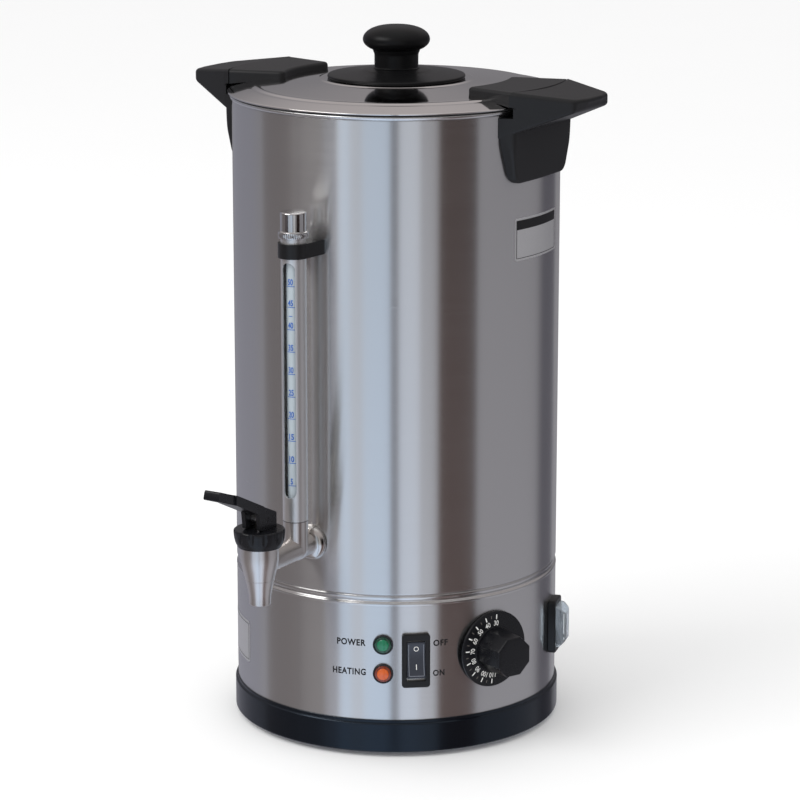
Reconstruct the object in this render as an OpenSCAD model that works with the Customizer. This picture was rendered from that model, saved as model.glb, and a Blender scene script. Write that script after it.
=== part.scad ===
// Hot water urn: double-skinned steel body on a black base ring, lift-off lid, lever tap with a
// sight gauge on its arm, and the controls on the lower housing.
// Origin: centre of the footprint on the surface it stands on. The tap points to -Y, handles to -X and +X.
// Angles round the body are counted from the tap (-Y) towards +X.

/* [Body] */
// Outer diameter of the steel walls
body_d = 265; // [245:1:285]
// Thickness of the steel walls
wall = 1; // [0.8:0.1:1.2]
// Air gap between the inner tank and the outer walls
air_gap = 5; // [4.5:0.5:6]
// Height from the underside of the base ring to the seam
housing_h = 131; // [126:1:150]
// Height from the seam to the middle of the rim bead
upper_h = 381; // [340:1:420]
// Radius of the rolled rim bead
bead_r = 1.9; // [1.5:0.1:2.2]
// Height of the tank floor above the seam
floor_rise = 8; // [7:0.5:12]
// Inside corner radius of the tank floor
floor_r = 8; // [5:1:12]

/* [Base] */
// How far the feet hold the base ring off the surface
foot_stand = 4; // [2:0.5:6]
// Height of the thick part of the base ring
ring_h = 24.5; // [20:0.5:30]
// How far the base ring stands proud of the steel
ring_proud = 2.2; // [1.5:0.1:4]
// Diameter of a rubber foot at the base plate
foot_d = 24; // [18:1:30]
// Radius of the circle that the feet stand on
foot_circle = 100; // [80:1:108]
// Thickness of the base plate
plate_t = 1.5; // [1:0.1:2]

/* [Lid] */
// Radius of the lid's edge beyond the steel walls
lid_over = 3.5; // [2.5:0.1:4]
// Height of the lid's edge above the middle of the rim bead
lid_gap = 3.8; // [3.6:0.1:5]
// Width of the sloping outer flange
flange_w = 22; // [16:1:26]
// Rise of the sloping outer flange
flange_rise = 4.8; // [3:0.1:7]
// Rise of the dome from the flange to the knob plate
dome_rise = 5.2; // [3:0.1:8]
// Depth of the locating skirt under the lid
skirt_h = 12; // [8:1:20]
// Radius of the knob plate
plate_r = 55.5; // [45:0.5:62]
// Height of the knob plate's cone
plate_h = 7.6; // [5:0.1:12]
// Widest radius of the knob
knob_r = 27; // [22:0.5:32]
// Radius of the knob's neck
neck_r = 17.7; // [13:0.1:19]
// Height of the knob above its plate
knob_h = 34.6; // [28:0.1:42]

/* [Handles] */
// Half width of a lid lug at its inner end
lug_half_in = 35.2; // [28:0.1:40]
// Radius of the lug's inner arc
lug_r_in = 91.6; // [80:0.1:98]
// Height of the lug's top above the lid's edge
lug_top = 12.4; // [10:0.1:16]
// Half width of the handle where it meets the wall
grip_half_wall = 51; // [45:0.5:58]
// Half width of the handle over its lower bracket
grip_half_mid = 46.4; // [40:0.1:50]
// Half width of the handle at its tip
grip_half_tip = 28; // [22:0.5:34]
// Reach of the handle's tip from the wall
grip_reach = 45; // [38:0.5:55]
// Drop of the handle's top from the seam to the tip
grip_drop = 5.2; // [3:0.1:8]
// Thickness of the grip at its tip
grip_tip_t = 9.4; // [7:0.1:12]
// Depth of the bracket below the rim bead
bracket_h = 56.5; // [48:0.5:70]
// Wall thickness of the handle mouldings
grip_wall = 3; // [2.5:0.1:4]

/* [Tap] */
// Height of the tap's arm above the underside of the base ring
tap_h = 170; // [160:1:185]
// Reach from the wall to the valve's axis
tap_reach = 73.5; // [66:0.5:80]
// Outer diameter of the arm
arm_d = 18.6; // [17:0.1:20]
// Bore of the arm
arm_bore = 10; // [8:0.5:11]
// Diameter of the domed wall flange
wall_flange_d = 29.4; // [26:0.1:34]
// Outer diameter of the valve cup
cup_d = 30.2; // [29:0.1:32]
// Outer diameter of the spout
spout_d = 17; // [15:0.1:18]
// Bore of the spout
spout_bore = 11; // [9:0.5:12]
// Drop of the spout's end below the arm
spout_drop = 32; // [28:0.5:40]
// Diameter of the bonnet nut
bonnet_d = 40.2; // [38:0.1:44]
// Height of the bonnet nut
bonnet_h = 14.5; // [13:0.1:18]
// Number of grip lobes round the bonnet
bonnet_lobes = 12; // [8:1:16]
// Stem diameter
stem_d = 6; // [5:0.1:7]
// Lever opening angle
lever_open = 32; // [20:1:35]
// Base circle of the lever's rolling foot, which sets the lift
foot_k = 5.7; // [4:0.1:7]
// Height of the lever's pin above the bonnet
pin_h = 8; // [7:0.1:9]
// Width of the lever over its fork
lever_w = 17; // [16:0.1:20]
// Length of the lever from the pin to its tip
lever_l = 66; // [50:1:75]
// Slope of the lever's arm
arm_slope = 25.2; // [22:0.1:30]
// Slope of the lever's thumb rest
thumb_slope = 18.4; // [12:0.1:24]
// Thickness of the lever
lever_t = 7.5; // [6:0.1:9]

/* [Sight gauge] */
// Distance of the gauge's axis from the wall
gauge_out = 21.9; // [20:0.1:26]
// Outer diameter of the steel shield
shield_d = 20; // [18.6:0.1:22]
// Wall of the steel shield
shield_wall = 1.2; // [1:0.1:1.6]
// Outer diameter of the glass tube
glass_d = 12; // [10:0.5:13]
// Wall of the glass tube
glass_wall = 1.4; // [1:0.1:2]
// Height of the shield's foot above the arm's axis
shield_rise = 23.7; // [20:0.1:28]
// Length of the shield
shield_l = 232; // [200:1:250]
// Width of the slot
slot_w = 10.7; // [8:0.1:12]
// Length of the slot
slot_l = 188; // [150:1:200]
// Height of the slot's lower end above the shield's foot
slot_rise = 19.3; // [14:0.1:24]
// Angle the slot is turned towards the controls
gauge_turn = 6; // [0:1:12]
// Height of the clip
clip_h = 11.6; // [9:0.1:15]
// Height of the cap above its skirt
cap_h = 15.3; // [12:0.1:20]

/* [Controls] */
// Height of the switches above the underside of the base ring
switch_h = 77; // [72:1:90]
// Angle of the front switch round the body
rocker_angle = 37.7; // [34:0.1:40]
// Angle of the side switch round the body
side_angle = 106; // [98:1:112]
// Width of the switch frames
frame_w = 22.6; // [21:0.1:25]
// Height of the switch frames
frame_h = 44.5; // [42:0.1:48]
// Width of a rocker
rocker_w = 14.5; // [13:0.1:15]
// Half length of a rocker
rocker_half = 15.9; // [14:0.1:17]
// Tilt of a rocker each way
rocker_tilt = 9; // [6:0.5:11]
// Angle of the lamps round the body
lamp_angle = 26.4; // [22:0.1:28]
// Height of the upper lamp above the underside of the base ring
lamp_h = 90.2; // [86:0.1:96]
// Spacing of the two lamps
lamp_pitch = 24.1; // [19:0.1:28]
// Diameter of a lamp bezel
lamp_d = 16.4; // [14:0.1:18]
// Angle of the dial round the body
dial_angle = 66.5; // [60:0.5:76]
// Height of the dial above the underside of the base ring
dial_h = 79.5; // [74:0.5:90]
// Diameter of the dial's skirt
dial_d = 62.5; // [56:0.5:70]
// Width of the dial's grip across its flats
dial_grip = 31; // [26:0.5:34]
// Reach of the dial's grip from the wall
dial_reach = 30; // [22:0.5:34]
// Diameter of the thermostat's spindle
spindle_d = 6; // [5:0.1:7]
// Height of the cable gland above the underside of the base ring
gland_h = 44; // [40:1:60]
// Bore of the cable gland
gland_bore = 8.4; // [7:0.1:9]

/* [Heating] */
// Radius of the heating element's ring
element_ring = 80; // [65:1:90]
// Diameter of the element's tube
element_d = 8; // [6.5:0.5:9]
// Radius of the aluminium heat plate
heat_r = 100; // [95:1:110]
// Thickness of the heat plate
heat_t = 4; // [3:0.5:5]

/* [Hidden] */

$fn = 96;
// Running clearance of a shaft in its bore, on the radius
run = 0.05;
// Play between mouldings of different bodies
play = 0.3;
// Overshoot of a cutting shape
cut = 1;

body_r = body_d / 2;
shell_in = body_r - wall;
tank_r = shell_in - air_gap;
tank_in = tank_r - wall;
seam_z = foot_stand + housing_h;
rim_z = seam_z + upper_h;
brim_z = rim_z + bead_r;
bead_out = body_r - 0.2 + bead_r;
floor_z = seam_z + floor_rise;

// Base ring: a ledge inside it carries the lower shell, and the base plate is screwed under the ledge
ring_r = body_r + ring_proud;
ledge_top = foot_stand + 12;
ledge_t = 3.5;
ledge_in = body_r - 8.5;
lip_h = 2.5;
lip_t = 0.9;
base_z = ledge_top - ledge_t - plate_t;
screw_circle = body_r - 4.2;
screw_r = 2;
foot_angles = [45, 135, 225, 315];
screw_angles = [0, 90, 180, 270];

// Lid
lid_r = body_r + lid_over;
lid_edge_z = rim_z + lid_gap;
lid_t = 1;
crease_r = lid_r - flange_w;
crease_z = lid_edge_z + flange_rise;
plate_z = crease_z + dome_rise;
skirt_out = tank_in - 2;
plate_edge = 2.8;
knob_z = plate_z + plate_h;
lug_r_out = lid_r + 2.5;
lug_z = lid_edge_z + lug_top;
lug_half_out = 47.2;
lug_screw_r = 104;
lug_screw_spread = 13;

// Handles
grip_r_in = lug_r_out + 0.5;
tip_x = body_r + grip_reach;
slot_r = lid_r + 5.5;
slot_z0 = rim_z - bead_r - 2;
slot_z1 = lid_edge_z + 1.2;
bracket_x = body_r + 3;
grip_rise = 17 / (tip_x - bracket_x);
bracket_z = rim_z - bracket_h;
crease_grip_z = lug_z - grip_drop - grip_tip_t - 17;
handle_screw_turn = 15;
handle_screw_z = [rim_z - 42, rim_z - 11];
handle_screw_l = [4.6, 12];

// Tap
tap_z = foot_stand + tap_h;
valve_y = -(body_r + tap_reach);
cup_r = cup_d / 2;
spout_r = spout_d / 2;
spout_z = tap_z - spout_drop;
seat_z = tap_z - 14;
chamber_r = cup_r - 3.6;
thread_r = cup_r - 1.1;
bonnet_z = tap_z + arm_d / 2 + 5.4;
bonnet_top = bonnet_z + bonnet_h;
bonnet_wall = 3;
cup_top = bonnet_top - bonnet_wall - 2.2;
stem_r = stem_d / 2;
pin_z = bonnet_top + pin_h;
pin_r = 1.5;
cheek_t = 3.5;
head_half = lever_w / 2 - cheek_t - play;
head_r = 4.5;
foot_h = pin_h - 0.15;
collar_z = seat_z + 22;
collar_t = 3;
collar_r = 7.5;
tail_r = 8;
tail_end = tank_in - 12;
thumb_w = 14;
thumb_start = 43.6;
fork_back = 11.4;

// Sight gauge
gauge_y = -(body_r + gauge_out);
shield_r = shield_d / 2;
glass_r = glass_d / 2;
shield_z = tap_z + shield_rise;
shield_top = shield_z + shield_l;
slot_z = shield_z + slot_rise;
cap_skirt_z = shield_top - 6.2;
cap_skirt_h = 5.2;
clip_z = cap_skirt_z - 3.7 - clip_h;
socket_z = tap_z + 8;
clip_half = 14.5;

// Switches
switch_z = foot_stand + switch_h;
pivot_sink = 6.5;
trunnion_r = 1.5;
front_proud = 3;
side_proud = 5.8;
boot_h = 7.8;
boot_wall = 1;

// Dial and thermostat
dial_z = foot_stand + dial_h;
skirt_z = body_r + 0.6;
skirt_t = 2.4;
bush_r = 5;
spindle_in = body_r - 24;
// Thermostat: its back and thickness on the wall's radius, its width, and its bulb
thermo_t = 31;
thermo_back = body_r - 3 - thermo_t;
thermo_w = 38;
bulb_l = 58;
bulb_y = -14;
// Length of the element's turned-down ends
tail_l = 18;
gland_z = foot_stand + gland_h;

function unit(v) = v / norm(v);

// Points of an arc from angle a0 to a1 about (cx, cy)
function arc(cx, cy, r, a0, a1, n = 8) =
    [for (i = [0 : n]) let (a = a0 + (a1 - a0) * i / n) [cx + r * cos(a), cy + r * sin(a)]];

// A polygon with each corner rounded to its own radius
function rounded(p, r, n = 6) = [for (i = [0 : len(p) - 1])
    let (b = p[i],
        u = unit(p[(i + len(p) - 1) % len(p)] - b),
        w = unit(p[(i + 1) % len(p)] - b),
        half = acos(u * w) / 2,
        m = b + unit(u + w) * r[i] / sin(half),
        s = b + u * r[i] / tan(half) - m,
        e = b + w * r[i] / tan(half) - m,
        sweep = 180 - 2 * half)
    each r[i] == 0 ? [b] : [for (k = [0 : n]) let (f = k / n)
        m + s * sin((1 - f) * sweep) / sin(sweep) + e * sin(f * sweep) / sin(sweep)]];

// Places children on the wall: local +Z points outwards from the body's axis, local +Y up
module at_wall(angle, z) {
    translate([0, 0, z]) rotate([90, 0, angle]) children();
}

module ring_of(angles, r) {
    for (a = angles) rotate([0, 0, a]) translate([0, -r, 0]) children();
}

module tube(r_out, r_in, h) {
    difference() {
        cylinder(r = r_out, h = h);
        translate([0, 0, -cut]) cylinder(r = r_in, h = h + 2 * cut);
    }
}

// A pan-head screw with its head's underside at z = 0 and its shank going up
module screw(r, l, head_r, head_t) {
    union() {
        translate([0, 0, -head_t]) cylinder(r = head_r, h = head_t);
        cylinder(r = r, h = l);
    }
}

// One closed tube swept along a path, with flat ends
module swept_tube(path, r, sides = 8) {
    last = len(path) - 1;
    points = [for (i = [0 : last])
        let (t = unit(path[min(i + 1, last)] - path[max(i - 1, 0)]),
            side = unit(cross(t, [0, 0, 1])),
            up = cross(side, t))
        for (k = [0 : sides - 1]) let (a = 360 * k / sides)
            path[i] + r * (side * cos(a) + up * sin(a))];
    walls = [for (i = [0 : last - 1]) for (k = [0 : sides - 1])
        let (a = i * sides + k, b = i * sides + (k + 1) % sides)
        [a, b, b + sides, a + sides]];
    start = [[for (k = [sides - 1 : -1 : 0]) k]];
    end = [[for (k = [0 : sides - 1]) last * sides + k]];
    polyhedron(points = points, faces = concat(walls, start, end), convexity = 4);
}

// ---------------------------------------------------------------- base

module base_ring() {
    color([0.07, 0.07, 0.08])
    difference() {
        rotate_extrude() polygon([
            [ring_r - 3, foot_stand], [ring_r - 1, foot_stand], [ring_r, foot_stand + 1],
            [ring_r, foot_stand + ring_h - 0.8], [ring_r - 0.8, foot_stand + ring_h],
            [body_r + lip_t, foot_stand + ring_h], [body_r + lip_t, foot_stand + ring_h + lip_h],
            [body_r, foot_stand + ring_h + lip_h], [body_r, ledge_top], [ledge_in, ledge_top],
            [ledge_in, ledge_top - ledge_t], [ring_r - 3, ledge_top - ledge_t]]);
        ring_of(screw_angles, screw_circle)
            translate([0, 0, ledge_top - ledge_t - cut]) cylinder(r = screw_r, h = ledge_t + cut - 0.5);
    }
}

module base_plate() {
    color([0.66, 0.67, 0.68])
    difference() {
        translate([0, 0, base_z]) cylinder(r = ring_r - 3.2, h = plate_t);
        ring_of(screw_angles, screw_circle) translate([0, 0, base_z - cut])
            cylinder(r = screw_r + 0.2, h = 4);
        ring_of(foot_angles, foot_circle) translate([0, 0, base_z - cut]) cylinder(r = foot_d / 6, h = 4);
        ring_of([for (i = [0 : 11]) i * 30 + 15], 55)
            translate([-2, -16, base_z - cut]) cube([4, 32, plate_t + 2 * cut]);
    }
}

module base_screws() {
    color([0.75, 0.76, 0.78])
    ring_of(screw_angles, screw_circle) translate([0, 0, base_z])
        screw(screw_r, ledge_t + plate_t - 0.8, 2.9, 1.8);
}

module feet() {
    color([0.05, 0.05, 0.05])
    ring_of(foot_angles, foot_circle) rotate_extrude() polygon([
        [0, 0], [foot_d / 2 - 3, 0], [foot_d / 2 - 2, 0.8], [foot_d / 2, base_z], [foot_d / 6, base_z],
        [foot_d / 6, base_z + plate_t], [foot_d / 6 + 1.4, base_z + plate_t],
        [foot_d / 6, base_z + plate_t + 4],
        [0, base_z + plate_t + 4]]);
}

// ---------------------------------------------------------------- walls and tank

// Rectangular cut through the lower wall for a switch
module switch_cut(angle) {
    at_wall(angle, switch_z)
        translate([-frame_w / 2 + 0.8, -frame_h / 2 + 1.8, body_r - 12])
            cube([frame_w - 1.6, frame_h - 3.6, 20]);
}

module lower_shell() {
    neck = body_r - 1.3;
    spigot = shell_in - 0.1;
    color([0.72, 0.71, 0.70])
    difference() {
        rotate_extrude() polygon([
            [body_r, ledge_top], [body_r, seam_z - 9], [body_r + 0.15, seam_z - 8.3],
            [body_r - 0.1, seam_z - 7.4], [neck + 0.4, seam_z - 6.8], [neck, seam_z - 6.2],
            [neck + 0.5, seam_z - 5.2], [body_r - 0.45, seam_z - 3.6], [body_r - 0.2, seam_z - 1.6],
            [body_r - 0.3, seam_z - 0.1], [spigot, seam_z - 0.1], [spigot, seam_z + 5],
            [spigot - wall, seam_z + 5], [spigot - wall, seam_z - 4], [neck - wall, seam_z - 6],
            [neck - wall, seam_z - 8], [shell_in, seam_z - 9], [shell_in, ledge_top]]);
        switch_cut(rocker_angle);
        switch_cut(side_angle);
        for (i = [0, 1]) at_wall(lamp_angle, foot_stand + lamp_h - i * lamp_pitch)
            translate([0, 0, body_r - 10]) cylinder(r = lamp_d / 2 - 2.1, h = 20);
        at_wall(dial_angle, dial_z) translate([0, 0, body_r - 10]) cylinder(r = bush_r + 0.2, h = 20);
        at_wall(180, gland_z) translate([0, 0, body_r - 10]) cylinder(r = gland_bore / 2 + 3.7, h = 20);
    }
}

module upper_shell() {
    color([0.74, 0.73, 0.72])
    difference() {
        translate([0, 0, seam_z]) tube(body_r, shell_in, rim_z - bead_r - 0.1 - seam_z);
        at_wall(0, tap_z) translate([0, 0, body_r - 10]) cylinder(r = tail_r + 0.3, h = 20);
        at_wall(0, clip_z + clip_h / 2) translate([0, 0, body_r - 10]) cylinder(r = screw_r + 0.2, h = 20);
        for (row = [0, 1]) handle_fixings(row) translate([0, 0, -3]) cylinder(r = screw_r + 0.2, h = 6);
    }
}

// Places children on the axis of each handle screw of one row, at the inside of the outer wall
module handle_fixings(row, sides = [0, 180]) {
    for (s = sides) for (a = [-handle_screw_turn, handle_screw_turn])
        rotate([0, 0, s + a]) translate([shell_in, 0, handle_screw_z[row]]) rotate([0, 90, 0]) children();
}

module inner_tank() {
    color([0.78, 0.78, 0.78])
    difference() {
        rotate_extrude() polygon(concat(
            [[0, floor_z + wall]],
            arc(tank_in - floor_r, floor_z + wall + floor_r, floor_r, -90, 0),
            [[tank_in, brim_z]],
            arc(body_r - 0.2, rim_z, bead_r, 90, -90, 14),
            arc(body_r - 0.2, rim_z, bead_r, -130, -205, 4),
            [[tank_r, brim_z - wall]],
            arc(tank_r - floor_r - wall, floor_z + floor_r + wall, floor_r + wall, 0, -90),
            [[0, floor_z]]));
        at_wall(0, tap_z) translate([0, 0, tank_in - 10]) cylinder(r = tail_r + 0.3, h = 20);
    }
}

// ---------------------------------------------------------------- heating and wiring

module element_ring_path(r) {
    rotate([0, 0, -70]) rotate_extrude(angle = 320) translate([element_ring, floor_z - heat_t - 1])
        circle(r = r);
}

module heat_plate() {
    color([0.80, 0.81, 0.82])
    difference() {
        translate([0, 0, floor_z - heat_t]) cylinder(r = heat_r, h = heat_t);
        rotate_extrude() translate([element_ring, floor_z - heat_t - 1]) circle(r = element_d / 2);
    }
}

module heating_element() {
    color([0.45, 0.42, 0.40])
    union() {
        element_ring_path(element_d / 2);
        for (a = [-70, 250]) rotate([0, 0, a]) translate([element_ring, 0, floor_z - heat_t - 1 - tail_l]) {
            cylinder(r = element_d / 2, h = tail_l);
            translate([0, 0, -8]) cylinder(r = 1.8, h = 9);
        }
        for (a = [-70, 250]) rotate([0, 0, a]) translate([element_ring, 0, floor_z - heat_t - 1])
            sphere(r = element_d / 2);
    }
}

module boil_dry_cutout() {
    color([0.85, 0.83, 0.78])
    translate([32, 24, floor_z - heat_t - 14]) union() {
        cylinder(r = 8, h = 5);
        translate([0, 0, 4]) cylinder(r = 12.5, h = 6);
        translate([0, 0, 10]) cylinder(r = 11, h = 4);
        translate([0, 0, -3]) cylinder(r = 2.5, h = 4);
        for (s = [-1, 1]) translate([s * 6 - 0.4, -3.1, -7]) cube([0.8, 6.2, 8]);
    }
}

module thermostat_body() {
    color([0.30, 0.30, 0.32])
    at_wall(dial_angle, dial_z) difference() {
        union() {
            translate([-thermo_w / 2, -thermo_w / 2, thermo_back]) cube([thermo_w, thermo_w, thermo_t]);
            translate([0, 0, body_r - 3.5]) cylinder(r = 8, h = 2.2);
            translate([0, 0, body_r - 3.5]) cylinder(r = bush_r, h = 3.9);
            for (s = [-1, 1]) translate([s * 10 - 3.1, -8, thermo_back - 9]) cube([6.2, 0.8, 10]);
        }
        translate([0, 0, spindle_in - 0.5]) cylinder(r = spindle_d / 2 + run, h = 40);
    }
}

// Point at f along a smooth curve from a to d, leaving towards b and arriving from c
function bend(a, b, c, d, f) =
    a * pow(1 - f, 3) + b * 3 * f * pow(1 - f, 2) + c * 3 * f * f * (1 - f) + d * pow(f, 3);

// Copper bulb under the heat plate with its capillary from the thermostat's back
module thermostat_bulb() {
    bulb_z = floor_z - heat_t - 3;
    out = [sin(dial_angle), -cos(dial_angle), 0];
    from = out * (thermo_back - 0.4) + [0, 0, dial_z - thermo_w / 4];
    to = [bulb_l / 2 - 23, bulb_y, bulb_z];
    color([0.72, 0.45, 0.28])
    union() {
        translate([-bulb_l / 2 - 23, bulb_y, bulb_z]) rotate([0, 90, 0]) cylinder(r = 3, h = bulb_l);
        swept_tube([for (i = [0 : 14]) bend(from, from - out * 40, to + [34, 0, -6], to, i / 14)], 0.8);
    }
}

module terminal_block() {
    color([0.88, 0.86, 0.80])
    translate([-60, 50, base_z + plate_t]) difference() {
        cube([48, 20, 16]);
        for (i = [0 : 2]) translate([10 + i * 14, -cut, 8]) rotate([-90, 0, 0]) cylinder(r = 2.4, h = 22);
        for (i = [0 : 2]) for (y = [5, 15]) translate([10 + i * 14, y, 8]) cylinder(r = 1.8, h = 10);
    }
}

module cable_gland() {
    color([0.06, 0.06, 0.07])
    at_wall(180, gland_z) difference() {
        union() {
            translate([0, 0, body_r]) cylinder(r = gland_bore / 2 + 7, h = 3, $fn = 6);
            rotate_extrude() polygon([
                [0, body_r - 15], [gland_bore / 2 + 3.5, body_r - 15], [gland_bore / 2 + 3.5, body_r + 3],
                [gland_bore / 2 + 5.6, body_r + 3], [gland_bore / 2 + 5.2, body_r + 10],
                [gland_bore / 2 + 3, body_r + 15], [gland_bore / 2 + 1.8, body_r + 16], [0, body_r + 16]]);
        }
        translate([0, 0, body_r - 20]) cylinder(r = gland_bore / 2, h = 40);
    }
}

module gland_nut() {
    color([0.08, 0.08, 0.09])
    at_wall(180, gland_z) difference() {
        translate([0, 0, shell_in - 6.2]) cylinder(r = gland_bore / 2 + 7.5, h = 5, $fn = 6);
        translate([0, 0, shell_in - 10]) cylinder(r = gland_bore / 2 + 3.5, h = 20);
    }
}

// ---------------------------------------------------------------- lid

// Height of the lid's upper face at radius r
function lid_height(r) = r > crease_r
    ? lid_edge_z + flange_rise * (lid_r - r) / flange_w
    : r > plate_r ? crease_z + dome_rise * (crease_r - r) / (crease_r - plate_r) : plate_z;

module lid_pan() {
    under = lid_r - 1.2;
    color([0.80, 0.79, 0.78])
    difference() {
        union() {
            rotate_extrude() polygon(concat(
                [[0, plate_z], [plate_r, plate_z],
                    [crease_r - 3, crease_z + dome_rise * 3 / (crease_r - plate_r)],
                    [crease_r, crease_z - 0.15],
                    [crease_r + 3, crease_z - flange_rise * 3 / flange_w - 0.1]],
                [[lid_r - 1, lid_height(lid_r - 1)]],
                arc(lid_r - 0.7, lid_edge_z - 0.6, 0.7, 60, -90, 6),
                [[under - 1, lid_height(under - 1) - lid_t], [crease_r, crease_z - lid_t - 0.1],
                    [plate_r, plate_z - lid_t], [0, plate_z - lid_t]]));
            difference() {
                translate([0, 0, rim_z - skirt_h + 4])
                    tube(skirt_out, skirt_out - wall, crease_z - rim_z + skirt_h);
                rotate_extrude() polygon([[0, plate_z - lid_t / 2], [plate_r, plate_z - lid_t / 2],
                    [crease_r, crease_z - lid_t / 2], [lid_r, lid_edge_z - lid_t / 2],
                    [lid_r, plate_z + 40], [0, plate_z + 40]]);
            }
        }
        translate([0, 0, plate_z - 5]) cylinder(r = 2.7, h = 10);
        lug_fixings() translate([0, 0, -10]) cylinder(r = screw_r + 0.2, h = 20);
    }
}

// Places children on the axis of each lug screw, at the lid's upper face
module lug_fixings(sides = [90, -90]) {
    for (side = sides) for (a = [-lug_screw_spread, lug_screw_spread])
        rotate([0, 0, side + a]) translate([0, -lug_screw_r, lid_height(lug_screw_r)]) children();
}

module knob_plate() {
    color([0.06, 0.06, 0.07])
    difference() {
        rotate_extrude() polygon(concat(
            [[0, plate_z], [plate_r - 0.8, plate_z]],
            arc(plate_r - 1.4, plate_z + 1.4, 1.4, -60, 60, 4),
            [[plate_r - 3, plate_z + plate_edge + 0.3], [neck_r + 9, knob_z - 1], [neck_r + 0.4, knob_z],
                [0, knob_z]]));
        translate([0, 0, plate_z - cut]) cylinder(r = 2.7, h = plate_h + 2 * cut);
    }
}

module lid_knob() {
    bulb_z = knob_z + knob_h - 11.6;
    color([0.05, 0.05, 0.06])
    difference() {
        rotate_extrude() polygon(concat(
            [[0, knob_z], [neck_r + 0.3, knob_z], [neck_r, knob_z + 0.8]],
            arc(neck_r + 3, knob_z + 11, 3, 180, 135, 4),
            [for (a = [-50 : 10 : 90]) [knob_r * pow(cos(a), 0.78),
                bulb_z + (a < 0 ? 10.5 : 11.6) * sin(a)]]));
        translate([0, 0, knob_z - cut]) cylinder(r = 2.5, h = 16);
    }
}

module knob_screw() {
    color([0.75, 0.76, 0.78])
    translate([0, 0, plate_z - lid_t]) union() {
        screw(2.5, plate_h + lid_t + 14, 4.6, 3);
        translate([0, 0, -1.2]) cylinder(r = 8, h = 1.2);
    }
}

// One lug: a turned profile over the lid, cut to its plan with rounded corners
module lid_lug() {
    turn = asin(lug_half_in / lug_r_in);
    x0 = lug_r_in * cos(turn);
    x1 = sqrt(lug_r_out * lug_r_out - lug_half_out * lug_half_out);
    far = lug_half_out + (lug_r_out + 3 - x1) * (lug_half_out - lug_half_in) / (x1 - x0);
    plan = rounded(concat(arc(0, 0, lug_r_in - 0.02, -turn, turn, 8),
        [[lug_r_out + 3, far], [lug_r_out + 3, -far]]),
        [5, 0, 0, 0, 0, 0, 0, 0, 5, 0, 0]);
    difference() {
        intersection() {
            rotate([0, 0, -24]) rotate_extrude(angle = 48) polygon(concat(
                [[lug_r_in, lid_height(lug_r_in)]],
                arc(lug_r_in + 2.5, lug_z - 2.5, 2.5, 180, 90, 5),
                arc(lug_r_out - 1.2, lug_z - 1.2, 1.2, 90, 0, 3),
                [[lug_r_out, lid_edge_z + 0.8], [lid_r + 0.3, lid_edge_z + 0.8],
                    [lid_r - 1, lid_height(lid_r - 1)],
                    [crease_r + 3, crease_z - flange_rise * 3 / flange_w - 0.1],
                    [crease_r, crease_z - 0.15],
                    [crease_r - 3, crease_z + dome_rise * 3 / (crease_r - plate_r)]]));
            translate([0, 0, lid_edge_z - 5]) linear_extrude(height = 40) polygon(plan);
        }
        for (a = [-lug_screw_spread, lug_screw_spread]) rotate([0, 0, a])
            translate([lug_screw_r, 0, lid_height(lug_screw_r) - 2]) cylinder(r = screw_r, h = 6.2);
    }
}

module lid_lug_right() {
    color([0.07, 0.07, 0.08]) lid_lug();
}

module lid_lug_left() {
    color([0.07, 0.07, 0.08]) rotate([0, 0, 180]) lid_lug();
}

module lug_screws() {
    color([0.75, 0.76, 0.78])
    lug_fixings() translate([0, 0, -lid_t - 0.35]) screw(screw_r, 5, 3.6, 2);
}

module lid_seal() {
    r0 = skirt_out + play;
    r1 = bead_out - 0.8;
    color([0.10, 0.10, 0.10])
    rotate_extrude() polygon([[r0, brim_z - 2], [tank_in - play, brim_z - 2],
        [tank_in - play, brim_z + 0.1],
        [r1, brim_z + 0.1], [r1, lid_height(r1) - lid_t - 0.2], [r0, lid_height(r0) - lid_t - 0.1]]);
}

// ---------------------------------------------------------------- handles

// Right-hand handle: three crossed outlines, hollowed from the wall side, with ribs and screw bosses
module handle() {
    top = lug_z;
    side = rounded([
        [body_r - 20, bracket_z], [bracket_x - 2, bracket_z], [bracket_x, crease_grip_z],
        [tip_x - 0.5, top - grip_drop - grip_tip_t], [tip_x + 4.2, top - grip_drop],
        [grip_r_in - 8, top + 0.4], [body_r - 20, top + 0.4]], [0, 3, 4, 5, 3, 0, 0]);
    plan = rounded(concat(
        [[body_r - 20, -grip_half_wall - 3.6], [bracket_x, -grip_half_mid], [tip_x, -grip_half_tip]],
        [[tip_x + 4.2, -grip_half_tip / 2.6], [tip_x + 4.2, grip_half_tip / 2.6]],
        [[tip_x, grip_half_tip], [bracket_x, grip_half_mid], [body_r - 20, grip_half_wall + 3.6]]),
        [0, 12, 9, 14, 14, 9, 12, 0]);
    front = rounded([
        [-grip_half_wall - 6.5, top + 10], [-grip_half_wall, crease_grip_z],
        [-grip_half_wall + 10.5, bracket_z],
        [grip_half_wall - 10.5, bracket_z], [grip_half_wall, crease_grip_z],
        [grip_half_wall + 6.5, top + 10]],
        [0, 0, 10, 10, 0, 0]);
    difference() {
        intersection() {
            rotate([90, 0, 0]) translate([0, 0, -80]) linear_extrude(height = 160) polygon(side);
            linear_extrude(height = top + 20) polygon(plan);
            rotate([90, 0, 90]) linear_extrude(height = tip_x + 20) polygon(front);
        }
        handle_clearance();
        handle_hollow();
        for (row = [0, 1]) handle_fixings(row, [0]) cylinder(r = screw_r, h = handle_screw_l[row] + 1.3);
    }
}

// The wall, the rim and the lid's edge, with room for the lid to lift
module handle_clearance() {
    rotate_extrude() polygon([[0, bracket_z - 10], [body_r, bracket_z - 10], [body_r, slot_z0],
        [slot_r, slot_z0], [slot_r, slot_z1], [grip_r_in, slot_z1], [grip_r_in, lug_z + 20],
        [0, lug_z + 20]]);
}

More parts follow.
